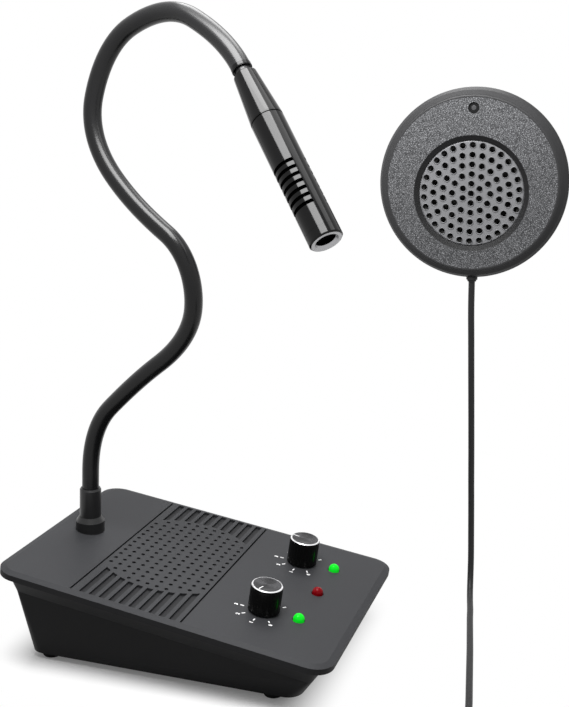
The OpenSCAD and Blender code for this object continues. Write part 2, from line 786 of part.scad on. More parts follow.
module neck_ferrule() {
    color(black) on_neck(neck_foot) difference() {
        union() {
            translate([0, 0, 3 + run_gap]) cylinder(d = ferrule_d, h = ferrule_h - 4 - run_gap);
            translate([0, 0, ferrule_h - 1 - eps]) cylinder(d1 = ferrule_d, d2 = ferrule_d - 1.2, h = 1);
            translate([0, 0, -tail_drop]) cylinder(d = tail_d, h = tail_drop + 4);
        }
        translate([0, 0, ferrule_h - 12]) cylinder(d = neck_d + 2 * run_gap, h = 20);
        translate([0, 0, -tail_drop - 1]) cylinder(d = neck_bore, h = ferrule_h + 20);
    }
}

module neck_nut() {
    color(brass) difference() {
        on_neck(neck_foot) difference() {
            translate([0, 0, -tail_drop + 1]) cylinder(d = 16, h = 9, $fn = 6);
            translate([0, 0, -tail_drop - 1]) cylinder(d = tail_d + 2 * run_gap, h = 20);
        }
        placed() above_plate(plate_t + run_gap);
    }
}

// Straight start of the gooseneck, held in the ferrule
module neck_root() {
    held = 12;
    color(rubber) on_neck(neck_foot) rotate_extrude() {
        translate([neck_bore / 2, ferrule_h - held + run_gap])
            square([cap_r - neck_bore / 2, neck_start - ferrule_h + held - run_gap]);
        translate([0, neck_start]) intersection() {
            circle(r = cap_r);
            translate([neck_bore / 2, 0]) square(cap_r);
        }
    }
}

// A stretch of the gooseneck: a straight foot with a round socket, a bent
// tube and a round head. The last one ends in a spigot for the microphone.
module neck_link(i) {
    bore_r = neck_bore / 2;
    inner_r = bore_r + skin;
    sunk = 0.5;
    r = abs(bend_r(i));
    lead = sunk / r * 180 / PI;
    color(rubber) on_neck(neck_frame(i)) rotate([0, 0, link_roll[i]]) {
        rotate_extrude() difference() {
            translate([inner_r, lip]) square([cap_r + skin - inner_r, socket_l - lip]);
            circle(r = cap_r + ball_gap);
        }
        translate([0, 0, socket_l]) rotate([0, 0, link_bend[i] < 0 ? 180 : 0])
            translate([r, 0, 0]) rotate([90, 0, 180]) rotate([0, 0, -lead])
                rotate_extrude(angle = abs(link_bend[i]) + lead) translate([r, 0]) difference() {
                    circle(d = neck_d);
                    circle(d = neck_bore);
                }
        multmatrix(bend_head(i)) rotate_extrude() {
            if (i == link_count - 1) translate([inner_r, -sunk]) square([spigot_d / 2 - inner_r, sunk + spigot_l]);
            else {
                translate([inner_r, -sunk]) square([cap_r - skin - inner_r, sunk + skin]);
                intersection() {
                    circle(r = cap_r - skin);
                    translate([inner_r, 0]) square(cap_r);
                }
            }
        }
    }
}

module neck_link_1() {
    neck_link(0);
}

module neck_link_2() {
    neck_link(1);
}

module neck_link_3() {
    neck_link(2);
}

module neck_link_4() {
    neck_link(3);
}

module neck_link_5() {
    neck_link(4);
}

module neck_link_6() {
    neck_link(5);
}

module neck_link_7() {
    neck_link(6);
}

module neck_link_8() {
    neck_link(7);
}

module neck_link_9() {
    neck_link(8);
}

// ---------------------------------------------------------------- microphone

module mic_barrel() {
    tail_r = mic_tail_d / 2;
    r = mic_d / 2;
    groove = 0.35;
    color(black) on_neck(mic_frame) difference() {
        rotate_extrude() polygon([
            [0, mic_gap], [tail_r - 0.8, mic_gap], [tail_r, mic_gap + 0.8],
            [r, mic_barrel_start - 1], [r, mic_barrel_start - 0.3], [r - groove, mic_barrel_start - 0.3],
            [r - groove, mic_barrel_start + 0.3], [r, mic_barrel_start + 0.3], [r, mic_ring_start], [0, mic_ring_start]
        ]);
        translate([0, 0, mic_gap - 1]) cylinder(d = spigot_d + 2 * run_gap, h = spigot_l);
        translate([0, 0, mic_barrel_start]) cylinder(r = r - mic_wall, h = 200);
        translate([0, 0, mic_gap - 1]) cylinder(d = neck_bore, h = mic_barrel_start);
        rotate([0, 0, mic_slot_turn]) for (i = [0 : mic_slots - 1], side = [0, 180]) rotate([0, 0, side])
            translate([0, 0, mic_slot_start + i * mic_slot_pitch - mic_slot_w / 2])
                rotate([0, 0, -mic_slot_arc / 2]) rotate_extrude(angle = mic_slot_arc)
                    translate([r - mic_wall - 1, 0]) square([mic_wall + 2, mic_slot_w]);
    }
}

// A ring that closes the barrel's front, with a spigot inside the barrel
module mic_front_ring() {
    r = mic_d / 2;
    spigot = r - mic_wall - run_gap;
    spigot_t = 0.6;
    color(grey) on_neck(mic_frame) rotate_extrude() polygon([
        [spigot - spigot_t, mic_ring_start - 2], [spigot, mic_ring_start - 2], [spigot, mic_ring_start + run_gap],
        [r, mic_ring_start + run_gap], [r, mic_tip - 0.6], [r - 0.6, mic_tip],
        [mic_ring_hole / 2 + 0.8, mic_tip], [mic_ring_hole / 2, mic_tip - 1.2],
        [mic_ring_hole / 2, mic_ring_start + 1], [spigot - spigot_t, mic_ring_start + 1]
    ]);
}

module mic_mesh() {
    color(black) on_neck(mic_frame) translate([0, 0, mic_ring_start]) difference() {
        cylinder(d = mic_ring_hole + 2, h = 1 - run_gap);
        for (i = [-2 : 2], j = [-2 : 2]) if (norm([i, j]) < 2.6) translate([i * 1.5, j * 1.5, -1])
            cylinder(d = 0.9, h = 3, $fn = 16);
    }
}

module mic_capsule() {
    color(steel) on_neck(mic_frame) translate([0, 0, mic_ring_start - 7]) {
        cylinder(d = 9.7, h = 7 - run_gap);
        translate([0, 0, 1]) cylinder(d = mic_d - 2 * mic_wall - 2 * run_gap, h = 2);
    }
}

// ---------------------------------------------------------------- outside speaker

module window_case() {
    r = window_d / 2;
    inner = face_d / 2 + 2 * fit_gap;
    ledge = inner - ledge_w;
    seat_z = face_rise - face_t;
    color(black) on_window() difference() {
        rotate_extrude() polygon([
            [0, -case_depth], [r - 5, -case_depth], [r - 1, -case_depth + 6], [r, -1], [r, 0.6],
            [r - 1.5, face_rise - 2], [inner + 0.4, face_rise - 0.4], [inner, face_rise - 0.4],
            [inner, seat_z], [ledge, seat_z], [ledge, seat_z - seat_t],
            [r - 1 - window_wall, -1 - seat_t], [r - 1.5 - window_wall, -case_depth + 6.5],
            [r - 5 - window_wall, -case_depth + window_wall], [0, -case_depth + window_wall]
        ]);
        translate([gland_x - window_x, -r - 5, -(gland_y - window_y)]) rotate([-90, 0, 0])
            cylinder(d = cord_d + 2, h = 20);
    }
}

module window_face() {
    r = face_d / 2;
    color(grey) on_window() difference() {
        translate([0, 0, face_rise - face_t]) {
            cylinder(r = r, h = face_t - 0.5);
            translate([0, 0, face_t - 0.5 - eps]) cylinder(r1 = r, r2 = r - 0.5, h = 0.5);
        }
        translate([0, -grille_drop, face_rise - face_t - 1]) cylinder(d = grille_d, h = face_t + 2);
        translate([0, -grille_drop, face_rise - face_t + 0.8])
            cylinder(d1 = grille_d, d2 = grille_opening, h = face_t - 0.8 + eps);
        translate([0, window_mic_rise, face_rise - face_t - 1]) cylinder(d = window_mic_d, h = face_t + 2);
    }
}

module window_grille() {
    color(silver) on_window(0, -grille_drop) translate([0, 0, face_rise - face_t - grille_t - run_gap]) difference() {
        cylinder(d = grille_d + 4, h = grille_t);
        for (ring = [0 : grille_rings], i = [0 : max(6 * ring, 1) - 1]) rotate([0, 0, 90 + i * 360 / max(6 * ring, 1)])
            translate([ring * grille_pitch, 0, -1]) cylinder(d = grille_hole_d, h = grille_t + 2, $fn = 24);
    }
}

module window_speaker() {
    r = grille_d / 2 + 1.5;
    color(steel) on_window(0, -grille_drop) translate([0, 0, face_rise - face_t - grille_t - 2 * run_gap])
        rotate_extrude() polygon([
            [r, 0], [r, -2], [r - 3, -2], [16, -7], [16, -13], [0, -13], [0, -4], [5, -5], [8, -6],
            [r - 5, -2.2], [r - 4, 0]
        ]);
}

module window_mic() {
    flange_h = window_mic_h - face_t + 0.8;
    color(black) on_window(0, window_mic_rise) translate([0, 0, face_rise - face_t - flange_h]) {
        cylinder(d = window_mic_d + 1.2, h = flange_h);
        cylinder(d = window_mic_d - 2 * fit_gap, h = window_mic_h);
    }
}

module window_board() {
    color(board_green) on_window() translate([-11, -face_d / 2 + 6, -case_depth + window_wall])
        cube([22, 9, board_t]);
}

module adhesive_pad() {
    color(grey) on_window() translate([0, 0, -case_depth - pad_t]) difference() {
        cylinder(d = window_d - 12, h = pad_t);
        translate([0, 0, -1]) cylinder(d = window_d - 40, h = pad_t + 2);
    }
}

// ---------------------------------------------------------------- cord

module cord_gland() {
    color(rubber) placed() translate([gland_x, gland_y, gland_z]) rotate_extrude() polygon([
        [0, 0], [cord_r + 0.6, 0], [cord_r + 0.75, gland_l - 3], [gland_d / 2, gland_l - 3],
        [gland_d / 2, gland_l - 1.6], [cord_r + 0.9, gland_l - 1.6], [cord_r + 0.9, gland_l + 3], [0, gland_l + 3]
    ]);
}

// A tube along the cord's points, with 8 sides
module tube(points, r) {
    sides = 8;
    count = len(points);
    function ahead(i) = points[min(i + 1, count - 1)] - points[max(i - 1, 0)];
    function unit(v) = v / norm(v);
    function across(i) = unit(cross(ahead(i), [1, 0.05, 0]));
    function over(i) = unit(cross(ahead(i), across(i)));
    rings = [for (i = [0 : count - 1], k = [0 : sides - 1])
        points[i] + r * cos(k * 360 / sides) * across(i) + r * sin(k * 360 / sides) * over(i)];
    walls = [for (i = [0 : count - 2], k = [0 : sides - 1])
        [i * sides + k, i * sides + (k + 1) % sides, (i + 1) * sides + (k + 1) % sides, (i + 1) * sides + k]];
    ends = [[for (k = [sides - 1 : -1 : 0]) k], [for (k = [0 : sides - 1]) (count - 1) * sides + k]];
    polyhedron(rings, concat(walls, ends), convexity = 6);
}

module window_cord() {
    color(rubber) placed() tube(cord_points, cord_r);
}

module cord_coil() {
    color(rubber) placed() translate([coil_x, coil_y, 0]) rotate_extrude()
        translate([coil_d / 2 - coil_w / 2, 0]) square([coil_w, coil_h]);
}

module cord_plug() {
    color(black) placed() translate([plug_x, plug_y, plug_z]) rotate([0, 0, 90]) rotate([0, 90, 0]) {
        cylinder(d1 = 5, d2 = 8, h = 10);
        translate([0, 0, 10 - eps]) cylinder(d = 8, h = 14);
        translate([0, 0, 24 - 2 * eps]) cylinder(d = 3.4, h = 14);
    }
}

// ---------------------------------------------------------------- nodes

top_cover();
bottom_case();
rubber_feet();
case_screws();
ballast_plate();
main_board();
amplifier_heatsink();
capacitors();
control_board();
speaker_frame();
speaker_cone();
speaker_magnet();
speaker_screws();
inner_pot_body();
outer_pot_body();
pot_nuts();
inner_pot_shaft();
outer_pot_shaft();
inner_knob();
outer_knob();
inner_knob_cap();
outer_knob_cap();
inner_signal_lamp();
power_lamp();
outer_signal_lamp();
power_inlet();
speaker_socket();
recorder_socket();
switch_housing();
switch_slider();
neck_collar();
neck_ferrule();
neck_nut();
neck_root();
neck_link_1();
neck_link_2();
neck_link_3();
neck_link_4();
neck_link_5();
neck_link_6();
neck_link_7();
neck_link_8();
neck_link_9();
mic_barrel();
mic_front_ring();
mic_mesh();
mic_capsule();
window_case();
window_face();
window_grille();
window_speaker();
window_mic();
window_board();
adhesive_pad();
cord_gland();
window_cord();
cord_coil();
cord_plug();
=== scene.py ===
# %% [markdown]
# # A teller window intercom
#
# This lesson dresses a two-way intercom: a wedge-shaped desk console with a
# gooseneck microphone, and a round speaker that sticks to the window glass.
# The construction comes ready made, in metres, so no piece has to be fitted.
# What is left is what the eye reads: grain, gloss, print, light, the skin of
# the gooseneck and three metres of cord.

# %% Load the construction
import json
import math

import bpy
import bmesh
from mathutils import Matrix, Vector


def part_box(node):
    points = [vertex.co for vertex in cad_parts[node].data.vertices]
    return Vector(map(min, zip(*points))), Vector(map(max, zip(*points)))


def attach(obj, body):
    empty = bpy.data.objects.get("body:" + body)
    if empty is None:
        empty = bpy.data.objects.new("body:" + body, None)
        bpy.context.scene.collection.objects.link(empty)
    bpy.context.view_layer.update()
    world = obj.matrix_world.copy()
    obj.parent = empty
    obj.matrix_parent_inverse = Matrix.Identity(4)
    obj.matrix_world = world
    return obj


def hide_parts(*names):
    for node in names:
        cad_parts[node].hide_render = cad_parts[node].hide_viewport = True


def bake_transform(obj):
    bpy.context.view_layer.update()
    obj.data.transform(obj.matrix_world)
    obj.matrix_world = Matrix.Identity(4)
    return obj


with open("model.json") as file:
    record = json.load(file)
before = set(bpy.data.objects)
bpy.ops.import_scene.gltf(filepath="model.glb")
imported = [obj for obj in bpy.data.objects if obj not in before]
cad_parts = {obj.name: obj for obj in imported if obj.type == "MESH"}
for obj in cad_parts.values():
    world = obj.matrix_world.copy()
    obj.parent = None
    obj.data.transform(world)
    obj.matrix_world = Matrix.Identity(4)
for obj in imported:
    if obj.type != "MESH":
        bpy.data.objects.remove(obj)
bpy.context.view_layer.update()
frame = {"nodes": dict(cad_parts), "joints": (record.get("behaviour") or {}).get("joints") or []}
nodes = frame["nodes"]
joints = {joint["name"]: joint for joint in frame["joints"]}
mm = 0.001
print("nodes:", len(nodes), "joints:", len(joints))

# %% [markdown]
# ## Camera
#
# A product picture is taken from a little above with a long lens, which keeps
# the sides of the console nearly parallel. The camera's own axes are written
# down, because it looks at no single piece: the microphone, the console and
# the outside speaker share the frame.

# %% Place the camera
VIEW_RIGHT = Vector((0.9464, 0.3229, 0.0))
VIEW_UP = Vector((-0.0743, 0.2177, 0.9731))
CAMERA_PLACE = (0.17133, -0.50756, 0.27882)
SENSOR_MM = 36
LENS_MM = 55.73

camera_data = bpy.data.cameras.new("product_camera")
camera_data.sensor_width = SENSOR_MM
camera_data.lens = LENS_MM
camera = bpy.data.objects.new("product_camera", camera_data)
bpy.context.scene.collection.objects.link(camera)
back = VIEW_RIGHT.cross(VIEW_UP).normalized()
turn = Matrix((VIEW_RIGHT, VIEW_UP, back)).transposed().to_4x4()
camera.matrix_world = Matrix.Translation(CAMERA_PLACE) @ turn
bpy.context.scene.camera = camera
bpy.context.scene.view_settings.view_transform = "Standard"
print(f"camera: {LENS_MM} mm lens on a {SENSOR_MM} mm sensor")

# %% [markdown]
# ## The console's own directions
#
# The top plate slopes towards the person who uses it. A small function turns
# places on the plate (along the slope, across it, and out of it) into places
# in the room. Its corner is taken from the construction, not typed in.

# %% Places on the sloping plate
SLOPE = math.radians(8.33)
PLATE_HIGH_Z = 52.3 * mm
window_low, window_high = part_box("window_case")
WINDOW_X = (window_low[0] + window_high[0]) / 2
WINDOW_Z = (window_low[2] + window_high[2]) / 2
WINDOW_FROM_CORNER = 203 * mm
CORNER = Vector((WINDOW_X - WINDOW_FROM_CORNER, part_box("top_cover")[0][1], 0))

plate_frame = Matrix.Translation(CORNER + Vector((0, 0, PLATE_HIGH_Z))) @ Matrix.Rotation(SLOPE, 4, "Y")
print("corner of the console:", [round(v, 4) for v in CORNER])


def on_plate(x, y, h=0.0):
    """A place on the plate: x along its slope, y across it and h above it."""
    return plate_frame @ Vector((x, y, h))


def from_corner(x, y, z):
    """A place given from the console's corner on the counter."""
    return CORNER + Vector((x, y, z))


def link(name, mesh, body="root", material=None, smooth=True):
    """Puts a mesh in the scene, riding on a body of the construction."""
    piece = bpy.data.objects.new(name, mesh)
    bpy.context.scene.collection.objects.link(piece)
    if material:
        mesh.materials.append(material)
    for face in mesh.polygons:
        face.use_smooth = smooth
    if body:
        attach(piece, body)
    return piece


# %% [markdown]
# Most small pieces here are rings of points, joined side by side in a bmesh.
# What they share is written once: the ring, the faces between two rings, and
# the step from bmesh to mesh. Small sizes are typed in millimetres.

# %% Helpers for meshes
def round_angles(sides):
    """Angles of that many points, evenly round a circle."""
    return [2 * math.pi * k / sides for k in range(sides)]


def turned_ring(made, radius, height, sides):
    """New points in a circle round Z."""
    return [made.verts.new((radius * math.cos(a), radius * math.sin(a), height)) for a in round_angles(sides)]


def bridge(made, rings):
    """Joins each ring of points to the next."""
    for low, high in zip(rings, rings[1:]):
        for k in range(len(low)):
            after = (k + 1) % len(low)
            made.faces.new((low[k], low[after], high[after], high[k]))


def finished_mesh(made, name):
    """The bmesh as a mesh of that name."""
    mesh = bpy.data.meshes.new(name)
    made.to_mesh(mesh)
    made.free()
    return mesh


def in_mm(*pairs):
    return [(a * mm, b * mm) for a, b in pairs]


# %% [markdown]
# ## The cord
#
# The outside speaker hangs on a thin round cord. It leaves a rubber gland,
# drops straight down, bends on the counter and runs forwards out of the
# picture. Such a cord is about three metres long. What the picture doesn't
# show is wound into a neat coil, so the route has two parts: points chosen
# as far as the coil, and turns worked out by a loop. One Bezier or poly
# curve with a round bevel is the usual way to make it. A poly curve keeps
# every turn where the loop puts it. The points carry the cord's radius and the
# bevel is one, because a curve's box grows by its points' radius.

# %% Route of the cord, from the console's corner, in metres
CORD_D = 3.5 * mm
cord_route = [
    (0.2045, 0.1615, 0.1805), (0.2048, 0.1615, 0.165), (0.2055, 0.1615, 0.148),
    (0.2063, 0.1615, 0.128), (0.2071, 0.1616, 0.108), (0.2079, 0.1616, 0.088),
    (0.2086, 0.1617, 0.068), (0.2093, 0.1617, 0.05), (0.2099, 0.1615, 0.034),
    (0.2105, 0.1605, 0.021), (0.2111, 0.1575, 0.011), (0.212, 0.152, 0.0045),
    (0.2134, 0.144, 0.002), (0.2152, 0.134, 0.00175), (0.2169, 0.123, 0.00175),
    (0.2189, 0.111, 0.00175), (0.2209, 0.099, 0.00175), (0.2229, 0.087, 0.00175),
    (0.2248, 0.075, 0.00175), (0.2267, 0.063, 0.00175), (0.2286, 0.051, 0.00175),
    (0.2305, 0.039, 0.00175), (0.2322, 0.027, 0.002), (0.2331, 0.017, 0.0038),
    (0.2329, 0.008, 0.0068), (0.2319, 0.0, 0.0096), (0.2303, -0.007, 0.0113),
]
COIL_X, COIL_Y = 0.253, -0.027
COIL_R = 23.5 * mm
PLUG_Y = -0.016
PLUG_Z = 4 * mm


def smooth_step(t):
    t = min(max(t, 0.0), 1.0)
    return t * t * (3 - 2 * t)


def spline_through(points, steps):
    """A Catmull-Rom curve through the points, with that many steps in each span."""
    ends = [points[0] * 2 - points[1], *points, points[-1] * 2 - points[-2]]
    made = []
    for a, b, c, d in zip(ends, ends[1:], ends[2:], ends[3:]):
        for k in range(steps):
            t = k / steps
            made.append(0.5 * (2 * b + (c - a) * t + (2 * a - 5 * b + 4 * c - d) * t**2
                               + (3 * b - a - 3 * c + d) * t**3))
    return [*made, points[-1]]


# %% [markdown]
# The coil has four layers. Layers of five and four turns lie in each other's
# grooves, so they are closer than a diameter in height. The cord climbs on
# top, and winds in and out as it goes down, until it leaves at the bottom
# outside, where the plug lies. Each turn keeps its radius for most of the way
# round and then steps over to the next place.

# %% Turns of the coil
LAYER_RISE = CORD_D * math.sqrt(3) / 2
STEP_SHARE = 0.16


def coil_places():
    """(radius, height) of each turn, from the top outside to the bottom outside."""
    places = []
    for layer in (3, 2, 1, 0):
        count = 4 if layer % 2 else 5
        radii = [COIL_R + (k - (count - 1) / 2) * CORD_D for k in range(count)]
        if layer % 2:
            radii.reverse()
        places += [(r, CORD_D / 2 + layer * LAYER_RISE) for r in radii]
    return places


def coil_turns(start_angle, start, steps=40):
    """Points of the winding, from the point where the cord comes in to angle 0."""
    places = coil_places()
    last_share = 1 - start_angle / (2 * math.pi)
    made = []
    for i, (radius, height) in enumerate(places):
        share = last_share if i == len(places) - 1 else 1
        after = places[min(i + 1, len(places) - 1)]
        for k in range(int(steps * share)):
            t = k / steps
            w = smooth_step((t - 1 + STEP_SHARE) / STEP_SHARE)
            r, z = radius + (after[0] - radius) * w, height + (after[1] - height) * w
            if i == 0:
                v = smooth_step(t / 0.2)
                r, z = start[0] + (r - start[0]) * v, start[1] + (z - start[1]) * v
            angle = start_angle + t * 2 * math.pi
            made.append(Vector((COIL_X + r * math.cos(angle), COIL_Y + r * math.sin(angle), z)))
    return made


laid = spline_through([Vector(p) for p in cord_route], 4)
entry = laid[-1] - Vector((COIL_X, COIL_Y, 0))
turns = coil_turns(math.atan2(entry.y, entry.x), (entry.xy.length, entry.z))
coil_out = COIL_R + 2 * CORD_D
to_plug = spline_through(
    [
        Vector((COIL_X + coil_out, COIL_Y, CORD_D / 2)),
        Vector((COIL_X + coil_out, COIL_Y + 4 * mm, CORD_D / 2 + 0.3 * mm)),
        Vector((COIL_X + coil_out, (COIL_Y + PLUG_Y) / 2 + 1 * mm, (CORD_D / 2 + PLUG_Z) / 2)),
        Vector((COIL_X + coil_out, PLUG_Y, PLUG_Z)),
    ],
    4,
)
cord_line = [from_corner(*p) for p in laid + turns[1:] + to_plug]
cord_measured = sum((b - a).length for a, b in zip(cord_line, cord_line[1:]))
print(f"cord: {cord_measured:.3f} m, {len(cord_line)} points")

cord_curve = bpy.data.curves.new("speaker_cord", "CURVE")
cord_curve.dimensions = "3D"
cord_curve.bevel_depth = 1.0
cord_curve.bevel_resolution = 3
cord_curve.use_fill_caps = True
spline = cord_curve.splines.new("POLY")
spline.points.add(len(cord_line) - 1)
for point, place in zip(spline.points, cord_line):
    point.co = (*place, 1)
    point.radius = CORD_D / 2
spline.use_smooth = True
cord = bpy.data.objects.new("speaker_cord", cord_curve)
bpy.context.scene.collection.objects.link(cord)
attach(cord, "root")
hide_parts("window_cord", "cord_coil")

# %% [markdown]
# ## Finishes
#
# Nearly everything here is black or grey, so the finishes have to differ in
# gloss and grain: matt moulded plastic on the console, lacquer on the
# microphone, satin rubber on the gooseneck, leather grain on the outside
# speaker. Small effects that many finishes share are node groups. They put
# out a colour, a roughness and a height, and the shader stays in the
# material itself.

# %% Helpers for node trees
def add_node(tree, kind, inputs=None, **settings):
    """A new node. Inputs are given by name or number, as a value or a socket to link."""
    node = tree.nodes.new(kind)
    for key, value in settings.items():
        setattr(node, key, value)
    for key, value in (inputs or {}).items():
        if isinstance(value, bpy.types.NodeSocket):
            tree.links.new(value, node.inputs[key])
        else:
            node.inputs[key].default_value = value
    return node


def calc(tree, operation, a, b=0.0, clamp=False):
    """A math node's result."""
    return add_node(tree, "ShaderNodeMath", {0: a, 1: b}, operation=operation, use_clamp=clamp).outputs[0]


def vector_calc(tree, operation, a, b=None):
    """A vector math node's result."""
    inputs = {0: a} if b is None else {0: a, 3 if operation == "SCALE" else 1: b}
    result = "Value" if operation in ("LENGTH", "DOT_PRODUCT") else "Vector"
    return add_node(tree, "ShaderNodeVectorMath", inputs, operation=operation).outputs[result]


def object_place(tree):
    """Where on its object a point lies, in metres."""
    return add_node(tree, "ShaderNodeTexCoord").outputs["Object"]


def noise(tree, place, scale, detail, roughness=0.5, result="Fac"):
    inputs = {"Vector": place, "Scale": scale, "Detail": detail, "Roughness": roughness}
    return add_node(tree, "ShaderNodeTexNoise", inputs).outputs[result]


def mix_colour(tree, share, a, b):
    """Colour a where share is 0, and b where it is 1."""
    node = add_node(tree, "ShaderNodeMix", {0: share, 6: a, 7: b}, data_type="RGBA")
    return node.outputs[2]


def new_group(name, inputs, outputs):
    """An empty node group with named sockets, and its input and output nodes."""
    tree = bpy.data.node_groups.new(name, "ShaderNodeTree")
    for label, kind, value in inputs:
        socket = tree.interface.new_socket(label, in_out="INPUT", socket_type=kind)
        socket.default_value = value
    for label, kind in outputs:
        tree.interface.new_socket(label, in_out="OUTPUT", socket_type=kind)
    return tree, tree.nodes.new("NodeGroupInput"), tree.nodes.new("NodeGroupOutput")


COLOUR, VALUE = "NodeSocketColor", "NodeSocketFloat"

# %% [markdown]
# Moulded plastic is never even. Its mould was spark-eroded, which leaves a
# fine grain that catches light, and large soft differences show where hands
# and cloths have passed. Two noises at very different scales give both.

# %% Group: moulded grain
def build_moulded_grain():
    tree, given, out = new_group(
        "Moulded grain",
        [("Color", COLOUR, (0.1, 0.1, 0.1, 1)), ("Grain size", VALUE, 0.4), ("Colour change", VALUE, 0.15),
         ("Roughness", VALUE, 0.5), ("Roughness change", VALUE, 0.1)],
        [("Color", COLOUR), ("Roughness", VALUE), ("Height", VALUE)],
    )
    place = object_place(tree)
    per_metre = calc(tree, "DIVIDE", 1000, given.outputs["Grain size"])
    grain = noise(tree, place, per_metre, 2.0, 0.6)
    cloud = noise(tree, place, 22.0, 3.0, 0.55)
    both = calc(tree, "ADD", calc(tree, "MULTIPLY", grain, 0.6), calc(tree, "MULTIPLY", cloud, 0.4))
    swing = calc(tree, "MULTIPLY", calc(tree, "SUBTRACT", both, 0.5), given.outputs["Colour change"])
    factor = calc(tree, "ADD", calc(tree, "MULTIPLY", swing, 2.0), 1.0)
    shade = vector_calc(tree, "SCALE", given.outputs["Color"], factor)
    rough = calc(tree, "MULTIPLY", calc(tree, "SUBTRACT", cloud, 0.5), given.outputs["Roughness change"])
    tree.links.new(shade, out.inputs["Color"])
    tree.links.new(calc(tree, "ADD", given.outputs["Roughness"], rough, clamp=True), out.inputs["Roughness"])
    tree.links.new(grain, out.inputs["Height"])
    return tree


# %% [markdown]
# The outside speaker's face has an embossed leather grain: small rounded
# cells with thin valleys between them. A Voronoi texture's distance to the
# nearest edge is exactly that, once its cells are bent a little by noise.

# %% Group: leather grain
def build_leather_grain():
    tree, given, out = new_group(
        "Leather grain",
        [("Color", COLOUR, (0.2, 0.2, 0.2, 1)), ("Valley color", COLOUR, (0.1, 0.1, 0.1, 1)),
         ("Cell size", VALUE, 0.8), ("Roughness", VALUE, 0.5)],
        [("Color", COLOUR), ("Roughness", VALUE), ("Height", VALUE)],
    )
    place = object_place(tree)
    bend = noise(tree, place, 700.0, 2.0, result="Color")
    small = vector_calc(tree, "SCALE", bend, 0.0009)
    bent = vector_calc(tree, "ADD", place, small)
    per_metre = calc(tree, "DIVIDE", 1000, given.outputs["Cell size"])
    cells = add_node(tree, "ShaderNodeTexVoronoi", {"Vector": bent, "Scale": per_metre},
                     feature="DISTANCE_TO_EDGE").outputs["Distance"]
    crown = add_node(tree, "ShaderNodeMapRange", {"Value": cells, "From Max": 0.34},
                     interpolation_type="SMOOTHSTEP").outputs[0]
    cloud = noise(tree, place, 60.0, 3.0)
    patches = calc(tree, "ADD", calc(tree, "MULTIPLY", cloud, 0.5), 0.75)
    share = calc(tree, "MULTIPLY", crown, patches, clamp=True)
    tree.links.new(mix_colour(tree, share, given.outputs["Valley color"], given.outputs["Color"]),
                   out.inputs["Color"])
    tree.links.new(calc(tree, "SUBTRACT", given.outputs["Roughness"], calc(tree, "MULTIPLY", crown, 0.12)),
                   out.inputs["Roughness"])
    tree.links.new(crown, out.inputs["Height"])
    return tree


# %% [markdown]
# Worked metal keeps fine lines from the tool. A noise that is stretched a
# hundredfold along one direction gives such lines.

# %% Group: drawn lines
def build_drawn_lines():
    tree, given, out = new_group(
        "Drawn lines",
        [("Color", COLOUR, (0.6, 0.6, 0.6, 1)), ("Line width", VALUE, 0.15), ("Roughness", VALUE, 0.3),
         ("Strength", VALUE, 0.2)],
        [("Color", COLOUR), ("Roughness", VALUE), ("Height", VALUE)],
    )
    place = object_place(tree)
    stretched = vector_calc(tree, "MULTIPLY", place, (0.02, 1, 1))
    per_metre = calc(tree, "DIVIDE", 1000, given.outputs["Line width"])
    lines = noise(tree, stretched, per_metre, 2.0)
    swing = calc(tree, "MULTIPLY", calc(tree, "SUBTRACT", lines, 0.5), given.outputs["Strength"])
    factor = calc(tree, "ADD", calc(tree, "MULTIPLY", swing, 1.5), 1.0)
    shade = vector_calc(tree, "SCALE", given.outputs["Color"], factor)
    tree.links.new(shade, out.inputs["Color"])
    tree.links.new(calc(tree, "ADD", given.outputs["Roughness"], swing, clamp=True), out.inputs["Roughness"])
    tree.links.new(lines, out.inputs["Height"])
    return tree


# %% [markdown]
# Some finishes change at a height: the plate's edge is blacker than its top,
# which is painted shade for the light from above, and only the upper part of
# a knob's cap is cut bright. The height over the sloping plate is the distance
# along the plate's own normal, and a narrow ramp makes a mask of it.

# %% Group: height over the plate
def build_plate_height():
    tree, given, out = new_group(
        "Height over the plate",
        [("From mm", VALUE, -1.1), ("To mm", VALUE, -1.0)],
        [("Mask", VALUE)],
    )
    place = object_place(tree)
    offset = vector_calc(tree, "SUBTRACT", place, plate_frame.translation)
    normal = plate_frame.to_3x3() @ Vector((0, 0, 1))
    height = vector_calc(tree, "DOT_PRODUCT", offset, normal)
    in_mm = calc(tree, "MULTIPLY", height, 1000.0)
    mask = add_node(tree, "ShaderNodeMapRange", {"Value": in_mm, "From Min": given.outputs["From mm"],
                                                 "From Max": given.outputs["To mm"]}).outputs[0]
    tree.links.new(mask, out.inputs["Mask"])
    return tree


moulded_grain = build_moulded_grain()
leather_grain = build_leather_grain()
drawn_lines = build_drawn_lines()
plate_height = build_plate_height()
print("groups:", [g.name for g in bpy.data.node_groups])

# %% [markdown]
# Every finish starts the same way: a Principled shader, one of the groups in
# front of it, and a Bump node whose height is the group's. What stays the
# same all over a surface, such as metalness or a lacquer coat, is set on the
# shader's own socket.

